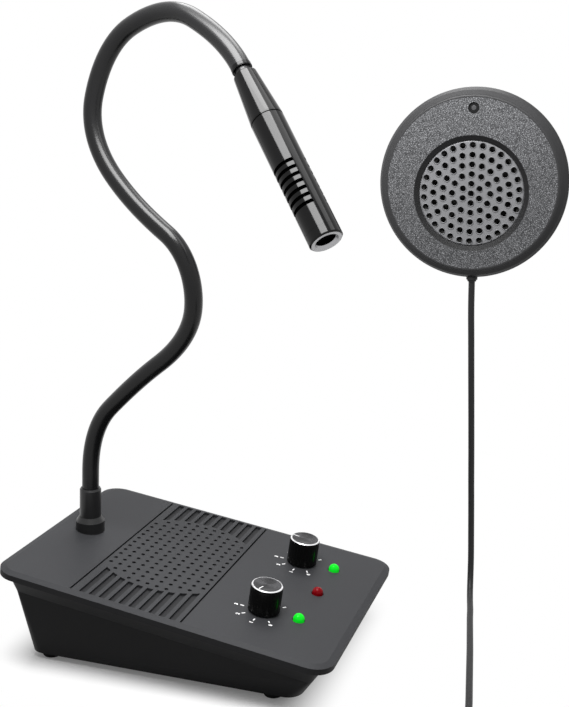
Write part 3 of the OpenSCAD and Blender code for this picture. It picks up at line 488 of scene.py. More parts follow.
# %% A finish from a group
def finish(name, group, values, bump=0.1, bump_depth=0.05, **constants):
    """A material with a Principled shader fed by one group."""
    constants.setdefault("specular_ior_level", 0.25)
    made = bpy.data.materials.new(name)
    made.use_nodes = True
    tree = made.node_tree
    shader = tree.nodes["Principled BSDF"]
    source = add_node(tree, "ShaderNodeGroup", None, node_tree=group)
    for key, value in values.items():
        source.inputs[key].default_value = value
    tree.links.new(source.outputs["Color"], shader.inputs["Base Color"])
    tree.links.new(source.outputs["Roughness"], shader.inputs["Roughness"])
    raised = add_node(tree, "ShaderNodeBump", {"Strength": bump, "Distance": bump_depth * mm,
                                               "Height": source.outputs["Height"]})
    tree.links.new(raised.outputs[0], shader.inputs["Normal"])
    for key, value in constants.items():
        shader.inputs[key.replace("_", " ").title().replace("Ior", "IOR")].default_value = value
    return made


def masked_colour(made, low, from_mm, to_mm):
    """Another colour below a height over the plate."""
    tree = made.node_tree
    entry = tree.nodes["Principled BSDF"].inputs["Base Color"]
    above = entry.links[0].from_socket
    mask = add_node(tree, "ShaderNodeGroup", None, node_tree=plate_height)
    mask.inputs["From mm"].default_value = from_mm
    mask.inputs["To mm"].default_value = to_mm
    tree.links.new(mix_colour(tree, mask.outputs["Mask"], low, above), entry)


def plastic(name, colour, roughness, grain=0.4, change=0.15, bump=0.25, **constants):
    values = {"Color": colour, "Grain size": grain, "Colour change": change,
              "Roughness": roughness, "Roughness change": 0.12}
    return finish(name, moulded_grain, values, bump, **constants)


def metal(name, colour, roughness, width=0.15, strength=0.25, bump=0.15, **constants):
    values = {"Color": colour, "Line width": width, "Roughness": roughness, "Strength": strength}
    return finish(name, drawn_lines, values, bump, metallic=1.0, specular_ior_level=0.5, **constants)


# %% [markdown]
# Two kinds of finish cover nearly every piece: moulded plastic or rubber, and
# worked metal. A call for each finish gives its own colour, roughness and
# grain, so that a change to one is a change to one line. The plate's edge is
# painted darker than its top, as shade for the light from above, which the height mask does.

# %% Finishes of the console
charcoal_with_painted_edge_shade = plastic("charcoal_with_painted_edge_shade", (0.034, 0.0347, 0.0374, 1), 0.56, grain=0.5, change=0.35,
                         bump=0.6, specular_ior_level=0.12)
# painted shade: below the plate's top, the edge is coloured near black for the shade it gets under light from
# above
masked_colour(charcoal_with_painted_edge_shade, (0.012, 0.012, 0.013, 1), -1.25, -1.0)
black_shell = plastic("black_shell", (0.0065, 0.0065, 0.007, 1), 0.48, grain=0.5, change=0.3, bump=0.5,
                      specular_ior_level=0.1)
knob_black = plastic("knob_black", (0.002, 0.002, 0.002, 1), 0.22, grain=0.3, bump=0.1)
foot_rubber = plastic("foot_rubber", (0.008, 0.008, 0.008, 1), 0.8, grain=0.6, bump=0.5,
                      specular_ior_level=0.1)
collar_black = plastic("collar_black", (0.012, 0.012, 0.0125, 1), 0.3, grain=0.35, bump=0.15,
                       specular_ior_level=0.35)
print_white = plastic("print_white", (0.86, 0.86, 0.86, 1), 0.6, grain=0.25, change=0.15, bump=0.2)
socket_black = plastic("socket_black", (0.02, 0.02, 0.02, 1), 0.4, grain=0.4)
hole_black = plastic("hole_black", (0.003, 0.003, 0.003, 1), 0.9, grain=0.4, specular_ior_level=0.05)
steel = metal("steel", (0.55, 0.56, 0.58, 1), 0.35)
brass = metal("brass", (0.72, 0.5, 0.2, 1), 0.3)
sink_metal = metal("sink_metal", (0.6, 0.61, 0.62, 1), 0.4, width=0.3)
board_lacquer = plastic("board_lacquer", (0.012, 0.09, 0.035, 1), 0.35, grain=1.2, change=0.4, bump=0.15)
cone_paper = plastic("cone_paper", (0.02, 0.02, 0.019, 1), 0.85, grain=0.7, change=0.4, bump=0.6)
can_sleeve = plastic("can_sleeve", (0.02, 0.025, 0.08, 1), 0.3, grain=0.6)

# %% [markdown]
# The microphone and its gooseneck show how much gloss says. The barrel is
# lacquered: nearly black and very smooth, so it mirrors the lamps as sharp
# streaks. The gooseneck's sleeve is rubber: nearly the same colour, but
# rougher, so its highlights are broad and weak.

# %% Finishes of the gooseneck, the microphone and the outside speaker
neck_rubber = plastic("neck_rubber", (0.006, 0.006, 0.0063, 1), 0.24, grain=0.5, change=0.3, bump=0.05)
cord_rubber = plastic("cord_rubber", (0.010, 0.010, 0.0105, 1), 0.45, grain=0.4, bump=0.06)
gloss_black = plastic("gloss_black", (0.001, 0.001, 0.0011, 1), 0.12, grain=0.8, change=0.1, bump=0.03,
                      specular_ior_level=0.2)
ring_satin = metal("ring_satin", (0.42, 0.42, 0.43, 1), 0.4)
mesh_black = plastic("mesh_black", (0.005, 0.005, 0.0052, 1), 0.5, grain=0.3, specular_ior_level=0.1)
rim_black = plastic("rim_black", (0.027, 0.027, 0.028, 1), 0.42, grain=0.5, change=0.15, bump=0.25,
                    specular_ior_level=0.15)
grille_silver = plastic("grille_silver", (0.15, 0.151, 0.157, 1), 0.3, grain=0.35, change=0.12, bump=0.3,
                        specular_ior_level=0.2)
foam = plastic("foam", (0.1, 0.1, 0.1, 1), 0.95, grain=0.9, change=0.5, bump=0.8)

# %% [markdown]
# The face plate of the outside speaker has two finishes in one moulding: its
# flat front is leather grained, and the funnel round the grille is smooth and
# dark. A mask from the distance to the grille's middle switches between them.

# %% Finish of the face plate
GRILLE_DROP = 5 * mm
GRILLE_OPENING_R = 30.5 * mm


def face_plate_finish():
    made = finish("face_plate", leather_grain,
                  {"Color": (0.175, 0.177, 0.184, 1), "Valley color": (0.028, 0.0285, 0.03, 1),
                   "Cell size": 0.8, "Roughness": 0.5}, bump=0.6, bump_depth=0.12,
                  specular_ior_level=0.12)
    tree = made.node_tree
    shader = tree.nodes["Principled BSDF"]
    grain_colour = shader.inputs["Base Color"].links[0].from_socket
    place = object_place(tree)
    middle = (WINDOW_X, 0, WINDOW_Z - GRILLE_DROP)
    offset = vector_calc(tree, "SUBTRACT", place, middle)
    flat = vector_calc(tree, "MULTIPLY", offset, (1, 0, 1))
    distance = vector_calc(tree, "LENGTH", flat)
    edge = {"From Min": GRILLE_OPENING_R - 0.25 * mm, "From Max": GRILLE_OPENING_R + 0.05 * mm}
    outside = add_node(tree, "ShaderNodeMapRange", {"Value": distance, **edge}).outputs[0]
    colour = mix_colour(tree, outside, (0.01, 0.01, 0.0105, 1), grain_colour)
    tree.links.new(colour, shader.inputs["Base Color"])
    return made


face_plate = face_plate_finish()

# %% [markdown]
# A lamp's lens is tinted clear resin. The two green ones are lit: the light
# inside makes the whole dome glow, and brightest where one looks into it. The
# red one is dark, and its weak glow is painted light that brightens its tint.

# %% Finishes of the lamps
def lens(name, tint, glow):
    made = plastic(name, tint, 0.16, grain=1.5, change=0.1, bump=0.02, specular_ior_level=0.08)
    shader = made.node_tree.nodes["Principled BSDF"]
    shader.inputs["Subsurface Weight"].default_value = 0.3
    shader.inputs["Subsurface Radius"].default_value = (1.0, 1.0, 1.0)
    shader.inputs["Subsurface Scale"].default_value = 1.0 * mm
    shader.inputs["Emission Color"].default_value = tint
    shader.inputs["Emission Strength"].default_value = glow
    return made


green_lens = lens("green_lens", (0.003, 0.50, 0.014, 1), 0.7)
# painted glow: the red lamp is unlit, yet its lens emits a little light of its tint
red_lens = lens("red_lens", (0.17, 0.0004, 0.003, 1), 0.22)

# %% [markdown]
# Each piece of the construction now gets its material. A table from finish to
# pieces shows at a glance what is made of what. The knobs' caps are black at
# the side, and bright only at the cut edge.

# %% Dress the construction
KNOB_TOP = 14.2 * mm
cap_metal = metal("cap_metal", (0.92, 0.92, 0.93, 1), 0.28, strength=0.1, bump=0.05)
masked_colour(cap_metal, (0.004, 0.004, 0.004, 1), KNOB_TOP / mm - 0.45, KNOB_TOP / mm - 0.4)
dressed = {
    charcoal_with_painted_edge_shade: ["top_cover"],
    black_shell: ["bottom_case"],
    foot_rubber: ["rubber_feet"],
    steel: ["case_screws", "ballast_plate", "speaker_frame", "speaker_magnet", "speaker_screws",
            "inner_pot_body", "outer_pot_body", "pot_nuts", "inner_pot_shaft", "outer_pot_shaft",
            "switch_housing", "mic_capsule"],
    board_lacquer: ["main_board", "control_board", "window_board"],
    sink_metal: ["amplifier_heatsink"],
    can_sleeve: ["capacitors"],
    cone_paper: ["speaker_cone", "window_speaker"],
    knob_black: ["inner_knob", "outer_knob"],
    green_lens: ["inner_signal_lamp", "outer_signal_lamp"],
    red_lens: ["power_lamp"],
    socket_black: ["power_inlet", "speaker_socket", "recorder_socket", "switch_slider", "cord_plug"],
    collar_black: ["neck_collar", "neck_ferrule"],
    brass: ["neck_nut"],
    gloss_black: ["mic_barrel", "mic_front_ring"],
    cap_metal: ["inner_knob_cap", "outer_knob_cap"],
    mesh_black: ["mic_mesh", "window_mic"],
    rim_black: ["window_case"],
    face_plate: ["window_face"],
    grille_silver: ["window_grille"],
    foam: ["adhesive_pad"],
    cord_rubber: ["cord_gland"],
}
for material, names in dressed.items():
    for name in names:
        nodes[name].data.materials.clear()
        nodes[name].data.materials.append(material)
cord_curve.materials.append(cord_rubber)
print("dressed:", sum(len(names) for names in dressed.values()), "nodes")

# %% [markdown]
# ## The gooseneck
#
# A gooseneck is a coiled steel spring in a rubber sleeve. It bends anywhere,
# but the construction has nine stretches with a hinge between each pair. To
# look whole it is skinned with one smooth tube, cut in the middle of each
# stretch, where nothing bends. Each piece of skin crosses one hinge.
# The hinges' places are worked out the way the stretches are built: a
# straight foot, then an arc of the given bend, in a plane that is turned a
# little about the neck. A real sleeve has no straight feet, so the skin
# follows a smooth curve through the hinges, with the hinges' own directions.

# %% Middle line of the gooseneck
NECK_R = 4.5 * mm
STRETCH = 41 * mm
STRAIGHT = NECK_R + 1 * mm
NECK_START = 33.6 * mm
NECK_LEAN = math.radians(3)
BENDS = [43, 7, -41, -73, 15, 54, 53, 51, 25]
ROLLS = [-9, 0, 17, -11, 12, 10, 1, -1, -14]
MIC_GAP = 2.5 * mm
NECK_FOOT = (18.6 * mm, 66 * mm)


def stretch_pose(bend, roll, share):
    """Matrix along one stretch, for a share of its length from 0 to 1."""
    along = share * STRETCH
    roll_on = Matrix.Rotation(roll, 4, "Z")
    if along <= STRAIGHT:
        return Matrix.Translation((0, 0, along))
    radius = (STRETCH - STRAIGHT) / bend
    angle = (along - STRAIGHT) / radius
    head = Matrix.Translation((radius * (1 - math.cos(angle)), 0, STRAIGHT + radius * math.sin(angle)))
    return roll_on @ head @ Matrix.Rotation(angle, 4, "Y") @ roll_on.inverted()


neck_foot = Matrix.Translation(on_plate(*NECK_FOOT)) @ Matrix.Rotation(NECK_LEAN, 4, "Y")
hinge_frames = [neck_foot @ Matrix.Translation((0, 0, NECK_START))]
for bend, roll in zip(BENDS, ROLLS):
    hinge_frames.append(hinge_frames[-1] @ stretch_pose(math.radians(bend), math.radians(roll), 1))
off_hinge = (hinge_frames[0].translation - Vector(joints["neck_bend_1"]["pos_m"])).length
print(f"gooseneck: first hinge off by {off_hinge / mm:.3f} mm")


def neck_place(at):
    """Matrix at a place on the neck's smooth line, counted in stretches."""
    i = min(int(at), len(BENDS) - 1)
    t = at - i
    a, b = hinge_frames[i], hinge_frames[i + 1]
    reach = 1.01 * STRETCH
    p0, p1 = a.translation, b.translation
    v0, v1 = a.col[2].xyz * reach, b.col[2].xyz * reach
    point = (p0 * (2 * t**3 - 3 * t**2 + 1) + v0 * (t**3 - 2 * t**2 + t)
             + p1 * (3 * t**2 - 2 * t**3) + v1 * (t**3 - t**2))
    along = (p0 * (6 * t**2 - 6 * t) + v0 * (3 * t**2 - 4 * t + 1)
             + p1 * (6 * t - 6 * t**2) + v1 * (3 * t**2 - 2 * t)).normalized()
    side = Vector((0, 1, 0)).cross(along).normalized()
    turned = Matrix((side, along.cross(side), along)).transposed().to_4x4()
    return Matrix.Translation(point) @ turned


def neck_line(start, end, steps):
    """Places along the neck, with two close ones at each end, so that shading meets across a cut."""
    shares = [0.0, 0.008, *[k / steps for k in range(1, steps)], 0.992, 1.0]
    return [neck_place(start + (end - start) * share) for share in shares]


# %% [markdown]
# The skin is a tube through the smooth line, swept ring by ring. A curve with a
# bevel would be shorter to write, but it can't be cut in planes that fit each
# other, so the rings are placed one by one.

# %% Skin it, one piece across each hinge
def tube_mesh(name, frames, radius, sides=40):
    """A tube through the frames' origins, across their Z directions."""
    made = bmesh.new()
    rings = []
    for at in frames:
        corners = [at @ Vector((radius * math.cos(a), radius * math.sin(a), 0)) for a in round_angles(sides)]
        rings.append([made.verts.new(corner) for corner in corners])
    bridge(made, rings)
    for ring, flip in ((rings[0], True), (rings[-1], False)):
        lid = [made.verts.new(vert.co) for vert in ring]
        made.faces.new(list(reversed(lid)) if flip else lid)
    return finished_mesh(made, name)


def smooth_tube(name, frames, radius, material):
    mesh = tube_mesh(name, frames, radius)
    piece = link(name, mesh, None, material)
    for face in mesh.polygons:
        face.use_smooth = len(face.vertices) == 4
    return piece


for i in range(len(BENDS)):
    last = i == len(BENDS) - 1
    if i == 0:
        foot = neck_place(0).to_3x3().to_4x4()
        axis = foot.col[2].xyz
        bottom = hinge_frames[0].translation
        line = [Matrix.Translation(bottom - axis * h * mm) @ foot for h in (21.5, 14, 9, 5, 2)]
        line += neck_line(0, 0.5, 12)
    else:
        line = neck_line(i - 0.5, i + 1 if last else i + 0.5, 36 if last else 24)
    skin = smooth_tube(f"neck_skin_{i + 1}", line, NECK_R, neck_rubber)
    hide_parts(*(["neck_root", "neck_link_1"] if i == 0 else [f"neck_link_{i + 1}"]))
    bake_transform(skin)
print("gooseneck: skin pieces", len(BENDS))

# %% [markdown]
# Between the sleeve and the microphone a thinner spigot shows for a few
# millimetres, and the sleeve ends in a pressed black band. At the other end
# of the microphone lies a grey ring round the mesh, and behind the sound slots
# a black liner keeps the light out. All are small turned parts, so rings of a
# given radius along the microphone's axis make them.

# %% Turned details of the microphone
MIC_R = 7.35 * mm
MIC_TIP = 91.5 * mm
MIC_MOUTH_R = 4.41 * mm
mic_frame = hinge_frames[-1]


def turned_mesh(name, profile, sides=48):
    """A mesh of rings along Z through (radius, height) pairs."""
    made = bmesh.new()
    bridge(made, [turned_ring(made, r, z, sides) for r, z in profile])
    bmesh.ops.recalc_face_normals(made, faces=made.faces)
    return finished_mesh(made, name)


def turned_piece(name, profile, at, body, material):
    """A turned piece along a matrix's Z, riding on a body."""
    piece = link(name, turned_mesh(name, profile), None, material, smooth=False)
    piece.matrix_world = at
    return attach(piece, body)


spigot = [(3.5 * mm, -1 * mm), (3.5 * mm, MIC_GAP + 0.5 * mm)]
turned_piece("mic_spigot", spigot, mic_frame, "neck_9", neck_rubber)
band = [(NECK_R, -2.0 * mm), (NECK_R + 0.18 * mm, -1.9 * mm), (NECK_R + 0.18 * mm, -0.3 * mm),
        (NECK_R - 0.1 * mm, 0.0), (3.4 * mm, 0.02 * mm)]
turned_piece("neck_end_band", band, mic_frame, "neck_9", gloss_black)
face_ring = [(MIC_MOUTH_R - 0.03 * mm, MIC_TIP - 1.15 * mm), (MIC_MOUTH_R + 0.8 * mm, MIC_TIP + 0.01 * mm),
             (MIC_R - 0.7 * mm, MIC_TIP + 0.01 * mm), (MIC_R - 0.7 * mm, MIC_TIP - 0.05 * mm)]
turned_piece("mic_face_ring", face_ring, mic_frame, "neck_9", ring_satin)
liner = in_mm((5.6, 45), (5.6, 80))
turned_piece("mic_liner", liner, mic_frame, "neck_9", hole_black)

# %% [markdown]
# The cord's plug has a bright pin with two grooves for its contacts. Its black
# core shows in the grooves, so a thin turned sleeve over the core is enough.

# %% Pin of the cord's plug
PIN_LENGTH = 14 * mm
pin_low, pin_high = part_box("cord_plug")
pin_place = Vector(((pin_low[0] + pin_high[0]) / 2, pin_high[1] - PIN_LENGTH, (pin_low[2] + pin_high[2]) / 2))
pin_profile = in_mm((1.75, 0.1), (1.75, 7.6), (1.6, 7.7), (1.6, 8.3), (1.75, 8.4), (1.75, 10.4),
                    (1.6, 10.5), (1.6, 11.0), (1.74, 11.1), (1.74, 13.9), (1.5, 14.0), (0.05, 14.02))
pin_frame = Matrix.Translation(pin_place) @ Matrix.Rotation(-math.pi / 2, 4, "X")
turned_piece("plug_pin", pin_profile, pin_frame, "root", steel)

# %% [markdown]
# ## Print on the plate
#
# Round each dial are seven ticks and an end mark, silk screened in white. The
# first four have a plain number. Ink stands a few hundredths of a millimetre
# proud, so thin meshes on the plate show it truly from every side. The numbers
# read from the console's low end, where the user sits.

# %% Ticks and numbers
INK = 0.03 * mm
TICK_R = 10.9 * mm
TICK_LENGTH = 1.9 * mm
TICK_WIDTH = 0.7 * mm
NUMBER_R = 13.9 * mm
NUMBER_SIZE = 2.5 * mm
SCALE_START, SCALE_STEP, SCALE_END = 304.0, 39.3, 46.8
DIALS = {"inner": (130.6 * mm, 36 * mm), "outer": (130.6 * mm, 96 * mm)}


def slab(made, matrix, length, width, height):
    """Adds a thin bar, centred on the matrix, to a bmesh."""
    bar = bmesh.ops.create_cube(made, size=1)["verts"]
    bmesh.ops.transform(made, verts=bar, matrix=matrix @ Matrix.Diagonal((length, width, height, 1)))


def dial_ticks(name, x, y):
    made = bmesh.new()
    marks = [(SCALE_START - SCALE_STEP * k, TICK_R, TICK_LENGTH) for k in range(7)]
    marks.append((SCALE_END, TICK_R + 0.7 * mm, TICK_LENGTH))
    for angle, radius, length in marks:
        turned = Matrix.Translation((x, y, INK / 2)) @ Matrix.Rotation(math.radians(angle), 4, "Z")
        slab(made, plate_frame @ turned @ Matrix.Translation((radius, 0, 0)), length, TICK_WIDTH, INK)
    return link(name, finished_mesh(made, name), "root", print_white, smooth=False)


def number_mesh(name, text, matrix):
    """A plain number as a thin mesh, standing on the matrix's XY plane."""
    drawn = bpy.data.curves.new(name, "FONT")
    drawn.body = text
    drawn.size = NUMBER_SIZE
    drawn.align_x = "CENTER"
    drawn.align_y = "CENTER"
    drawn.extrude = INK / 2
    drawn.offset = 0.14 * mm
    drawn.resolution_u = 3
    stand_in = bpy.data.objects.new(name, drawn)
    bpy.context.scene.collection.objects.link(stand_in)
    bpy.context.view_layer.update()
    mesh = bpy.data.meshes.new_from_object(stand_in.evaluated_get(bpy.context.evaluated_depsgraph_get()))
    bpy.data.objects.remove(stand_in)
    bpy.data.curves.remove(drawn)
    mesh.transform(matrix)
    return mesh


def dial_numbers(name, x, y):
    made = bmesh.new()
    for k in range(4):
        angle = math.radians(SCALE_START - SCALE_STEP * k)
        place = Matrix.Translation((x + NUMBER_R * math.cos(angle), y + NUMBER_R * math.sin(angle), INK / 2))
        upright = plate_frame @ place @ Matrix.Rotation(math.pi / 2, 4, "Z")
        made.from_mesh(number_mesh(f"{name}_{k}", str(k), upright))
    return link(name, finished_mesh(made, name), "root", print_white, smooth=False)


for dial, (x, y) in DIALS.items():
    dial_ticks(f"{dial}_dial_ticks", x, y)
    dial_numbers(f"{dial}_dial_numbers", x, y)

# %% [markdown]
# ## Knobs
#
# Each knob carries a spun aluminium disc. Turned metal has circular tool
# marks, so its highlight spreads into two opposite fans that sweep round as
# one moves. Anisotropy does that, with a tangent that runs round the disc's
# own axis. The disc is a thin piece of its own, so its axis is its own Z. It
# lies on a plain turned cap, black at the side, whose narrow cut edge is bright.

# %% Spun discs and pointers
DISC_R = 7.02 * mm
POINTERS = {"inner": -108, "outer": 178}


def spun_metal():
    made = bpy.data.materials.new("spun_metal")
    made.use_nodes = True
    tree = made.node_tree
    shader = tree.nodes["Principled BSDF"]
    shader.inputs["Metallic"].default_value = 1.0
    shader.inputs["Anisotropic"].default_value = 0.85
    place = object_place(tree)
    distance = vector_calc(tree, "LENGTH", place)
    rings = calc(tree, "SINE", calc(tree, "MULTIPLY", distance, 2 * math.pi / (0.22 * mm)))
    rough = calc(tree, "ADD", calc(tree, "MULTIPLY", rings, 0.05), 0.3)
    tree.links.new(rough, shader.inputs["Roughness"])
    cloud = noise(tree, place, 300.0, 2.0)
    tone = mix_colour(tree, cloud, (0.03, 0.03, 0.032, 1), (0.06, 0.06, 0.063, 1))
    tree.links.new(tone, shader.inputs["Base Color"])
    tangent = add_node(tree, "ShaderNodeTangent", None, direction_type="RADIAL", axis="Z")
    tree.links.new(tangent.outputs[0], shader.inputs["Tangent"])
    raised = add_node(tree, "ShaderNodeBump", {"Strength": 0.08, "Distance": 0.02 * mm, "Height": rings})
    tree.links.new(raised.outputs[0], shader.inputs["Normal"])
    return made


def disc_mesh(name, radius, height, sides=96):
    """A disc with a slightly dished face and a small step at its edge."""
    profile = [(0.0, height * 0.7), (radius * 0.5, height * 0.75), (radius - 0.5 * mm, height * 0.85),
               (radius - 0.42 * mm, height), (radius - 0.08 * mm, height), (radius, height * 0.6),
               (radius, 0)]
    made = bmesh.new()
    middle = made.verts.new((0, 0, profile[0][1]))
    rings = [turned_ring(made, r, z, sides) for r, z in profile[1:]]
    for k in range(sides):
        made.faces.new((middle, rings[0][k], rings[0][(k + 1) % sides]))
    for low, high in zip(rings, rings[1:]):
        for k in range(sides):
            made.faces.new((low[k], high[k], high[(k + 1) % sides], low[(k + 1) % sides]))
    made.faces.new(list(reversed(rings[-1])))
    return finished_mesh(made, name)


disc_metal = spun_metal()
cap_profile = in_mm((6.8, -1.0), (7.8, -1.0), (7.8, -0.5), (7.35, 0.0), (6.9, -0.01), (0.2, -0.01))
for dial, (x, y) in DIALS.items():
    turned = turned_mesh(f"{dial}_knob_edge", cap_profile, sides=96)
    turned.transform(plate_frame @ Matrix.Translation((x, y, KNOB_TOP)))
    cap = link(f"{dial}_knob_edge", turned, f"{dial}_volume", cap_metal, smooth=False)
    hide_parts(f"{dial}_knob_cap")
    at = (plate_frame @ Matrix.Translation((x, y, KNOB_TOP - 0.02 * mm))
          @ Matrix.Rotation(math.radians(POINTERS[dial]), 4, "Z"))
    disc = link(f"{dial}_knob_disc", disc_mesh(f"{dial}_knob_disc", DISC_R, 0.16 * mm), None, disc_metal)
    disc.matrix_world = at
    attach(disc, f"{dial}_volume")
    bar = bmesh.new()
    slab(bar, at @ Matrix.Translation((DISC_R - 1.9 * mm, 0, 0.17 * mm)), 3.4 * mm, 0.5 * mm, 0.06 * mm)
    pointer = finished_mesh(bar, f"{dial}_pointer")
    link(f"{dial}_pointer", pointer, f"{dial}_volume", print_white, smooth=False)

# %% [markdown]
# ## Grille of the outside speaker
#
# The grille is one moulded disc with 91 holes in rings of six more each time.
# Every hole has a small rounded lip, which catches the light and makes the
# grille sparkle, and the disc's own edge is rounded too. The flat sheet
# between the lips is filled as one face with holes in it, and lips, hole
# walls and edge are rings that hang on to it.

# %% Places of the holes
GRILLE_PITCH = 5.05 * mm
GRILLE_HOLE_R = 1.55 * mm
GRILLE_R = 27.6 * mm
GRILLE_FLANGE_R = 29.6 * mm
LIP_W = 0.42 * mm
LIP_H = 0.32 * mm
GRILLE_RINGS = 5
grille_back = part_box("window_grille")[1][1]
grille_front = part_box("window_grille")[0][1] - 0.6 * mm
hole_places = [(0.0, 0.0)]
for ring in range(1, GRILLE_RINGS + 1):
    for i in range(6 * ring):
        angle = math.pi / 2 + 2 * math.pi * i / (6 * ring)
        hole_places.append((ring * GRILLE_PITCH * math.cos(angle), ring * GRILLE_PITCH * math.sin(angle)))
print("grille: holes", len(hole_places))


# %% [markdown]
# Holes could be cut with booleans, one by one. Filling the sheet between ready
# rings gives cleaner faces, and the lips are exactly where the holes are.

# %% Grille
def grille_ring(made, centre, radius, y, sides):
    """New points in a circle round a hole's centre, in the plane of the grille."""
    cx, cz = centre
    return [made.verts.new((WINDOW_X + cx + radius * math.cos(a), y,
                            WINDOW_Z - GRILLE_DROP + cz + radius * math.sin(a))) for a in round_angles(sides)]


def fill_sheet(made, rings):
    """Fills the plane between an outer ring and the rings inside it."""
    edges = []
    for ring in rings:
        for k, vert in enumerate(ring):
            after = ring[(k + 1) % len(ring)]
            edges.append(made.edges.get((vert, after)) or made.edges.new((vert, after)))
    bmesh.ops.triangle_fill(made, use_beauty=True, edges=edges)


def grille_mesh():
    made = bmesh.new()
    lips, wells = [], []
    for centre in hole_places:
        rings = []
        for j in range(5):
            t = math.pi * j / 4
            radius = GRILLE_HOLE_R + LIP_W / 2 + LIP_W / 2 * math.cos(t)
            rings.append(grille_ring(made, centre, radius, grille_front - LIP_H * math.sin(t), 20))
        rings.append(grille_ring(made, centre, GRILLE_HOLE_R, grille_back, 20))
        bridge(made, rings)
        lips.append(rings[0])
        wells.append(rings[-1])
    edge = [(GRILLE_R - 0.6 * mm, grille_front), (GRILLE_R - 0.3 * mm, grille_front + 0.08 * mm),
            (GRILLE_R - 0.08 * mm, grille_front + 0.3 * mm), (GRILLE_R, grille_front + 0.6 * mm),
            (GRILLE_FLANGE_R, grille_front + 0.61 * mm), (GRILLE_FLANGE_R, grille_back)]
    outer = [grille_ring(made, (0, 0), r, y, 96) for r, y in edge]
    bridge(made, outer)
    fill_sheet(made, [outer[0], *lips])
    fill_sheet(made, [outer[-1], *wells])
    bmesh.ops.recalc_face_normals(made, faces=made.faces)
    return finished_mesh(made, "speaker_grille")


grille = link("speaker_grille", grille_mesh(), "root", grille_silver)
grille.data.set_sharp_from_angle(angle=math.radians(50))
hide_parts("window_grille")
print("grille: faces", len(grille.data.polygons))

# %% [markdown]
# The leather grained face is a plate let into the rim, and the film on it
# laps over the joint, so no gap shows. A thin half-round bead does that.

# %% Bead round the face plate
FACE_R = 45.5 * mm
face_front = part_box("window_face")[0][1]
window_frame = Matrix.Translation((WINDOW_X, face_front, WINDOW_Z)) @ Matrix.Rotation(math.pi / 2, 4, "X")
bead = [(FACE_R - 0.75 * mm, 0.0), (FACE_R - 0.6 * mm, 0.03 * mm), (FACE_R - 0.1 * mm, 0.02 * mm),
        (FACE_R + 0.45 * mm, -0.15 * mm), (FACE_R + 0.85 * mm, -0.55 * mm)]
face_bead = turned_piece("face_bead", bead, window_frame, "root", rim_black)
for face in face_bead.data.polygons:
    face.use_smooth = True

# %% [markdown]
# In the small hole above the grille sits a microphone for the customer's
# voice. Only the round end of its grey rubber plug shows.

# %% Plug in the small hole
plug_low, plug_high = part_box("window_mic")
plug_place = Vector(((plug_low[0] + plug_high[0]) / 2, plug_low[1], (plug_low[2] + plug_high[2]) / 2))
plug_frame = Matrix.Translation(plug_place) @ Matrix.Rotation(math.pi / 2, 4, "X")
plug_profile = in_mm((1.35, -0.1), (1.3, 0.1), (1.0, 0.25), (0.01, 0.3))
plug_grey = plastic("plug_grey", (0.05, 0.05, 0.052, 1), 0.6, grain=0.3, specular_ior_level=0.1)
turned_piece("window_mic_plug", plug_profile, plug_frame, "root", plug_grey)

# %% [markdown]
# ## Rims of the sound holes
#
# Moulded sound holes have a small countersink, shaded inside, with an edge
# that catches light. Each is two thin rings on the plate: a black one at
# the hole, which is painted shade for the countersink's inside, and a low lip
# of the plate's own plastic round it.

# %% Rims round the sound holes
PANEL_X = 71.2 * mm
PANEL_Y = 66 * mm
HOLE_PITCH_X, HOLE_PITCH_Y = 5.17 * mm, 5.34 * mm
HOLE_FIELD_R = 39.5 * mm
SOUND_HOLE_R = 0.85 * mm


def hole_grid():
    """Places of the sound holes, from the middle of the panel."""
    places = []
    for i in range(-5, 6):
        for j in range(-7, 8):
            x, y = i * HOLE_PITCH_X, j * HOLE_PITCH_Y
            if math.hypot(x, y) < HOLE_FIELD_R:
                places.append((PANEL_X + x, PANEL_Y + y))
    return places


def rims_mesh(name, profile, sides=14):
    """One turned ring, repeated at every sound hole."""
    made = bmesh.new()
    for x, y in hole_grid():
        rings = [[made.verts.new(on_plate(x + r * math.cos(a), y + r * math.sin(a), h))
                  for a in round_angles(sides)] for r, h in profile]
        bridge(made, rings)
    bmesh.ops.recalc_face_normals(made, faces=made.faces)
    return finished_mesh(made, name)


# painted shade: the countersink's inside and a thin band at each hole are coloured black
sink = [(SOUND_HOLE_R - 0.02 * mm, -0.3 * mm), (SOUND_HOLE_R, 0.015 * mm),
        (SOUND_HOLE_R + 0.17 * mm, 0.02 * mm)]
link("sound_hole_painted_shade", rims_mesh("sound_hole_painted_shade", sink), "root", hole_black)
lip = [(SOUND_HOLE_R + 0.16 * mm, 0.01 * mm), (SOUND_HOLE_R + 0.24 * mm, 0.09 * mm),
       (SOUND_HOLE_R + 0.36 * mm, 0.08 * mm), (SOUND_HOLE_R + 0.5 * mm, -0.01 * mm)]
link("sound_hole_lips", rims_mesh("sound_hole_lips", lip), "root", charcoal_with_painted_edge_shade)
print("sound holes:", len(hole_grid()))

# %% [markdown]
# ## Floor and light
#
# The picture is a cut-out on white, with only a soft shadow where the feet
# meet the counter. The floor is pale and takes real shadows. To camera and
# mirror rays it is lifted to white, so that no horizon shows, and the lamps
# stay at a plain level.

# %% White surroundings
ROOM_LIGHT = 0.22
FLOOR_GLOW = 0.12
FLOOR_NEAR, FLOOR_FAR = 0.0, 0.032
FOOTPRINT_MIDDLE = (-0.046, -0.0178, 0)
FOOTPRINT_HALF = (0.062, 0.052, 0)


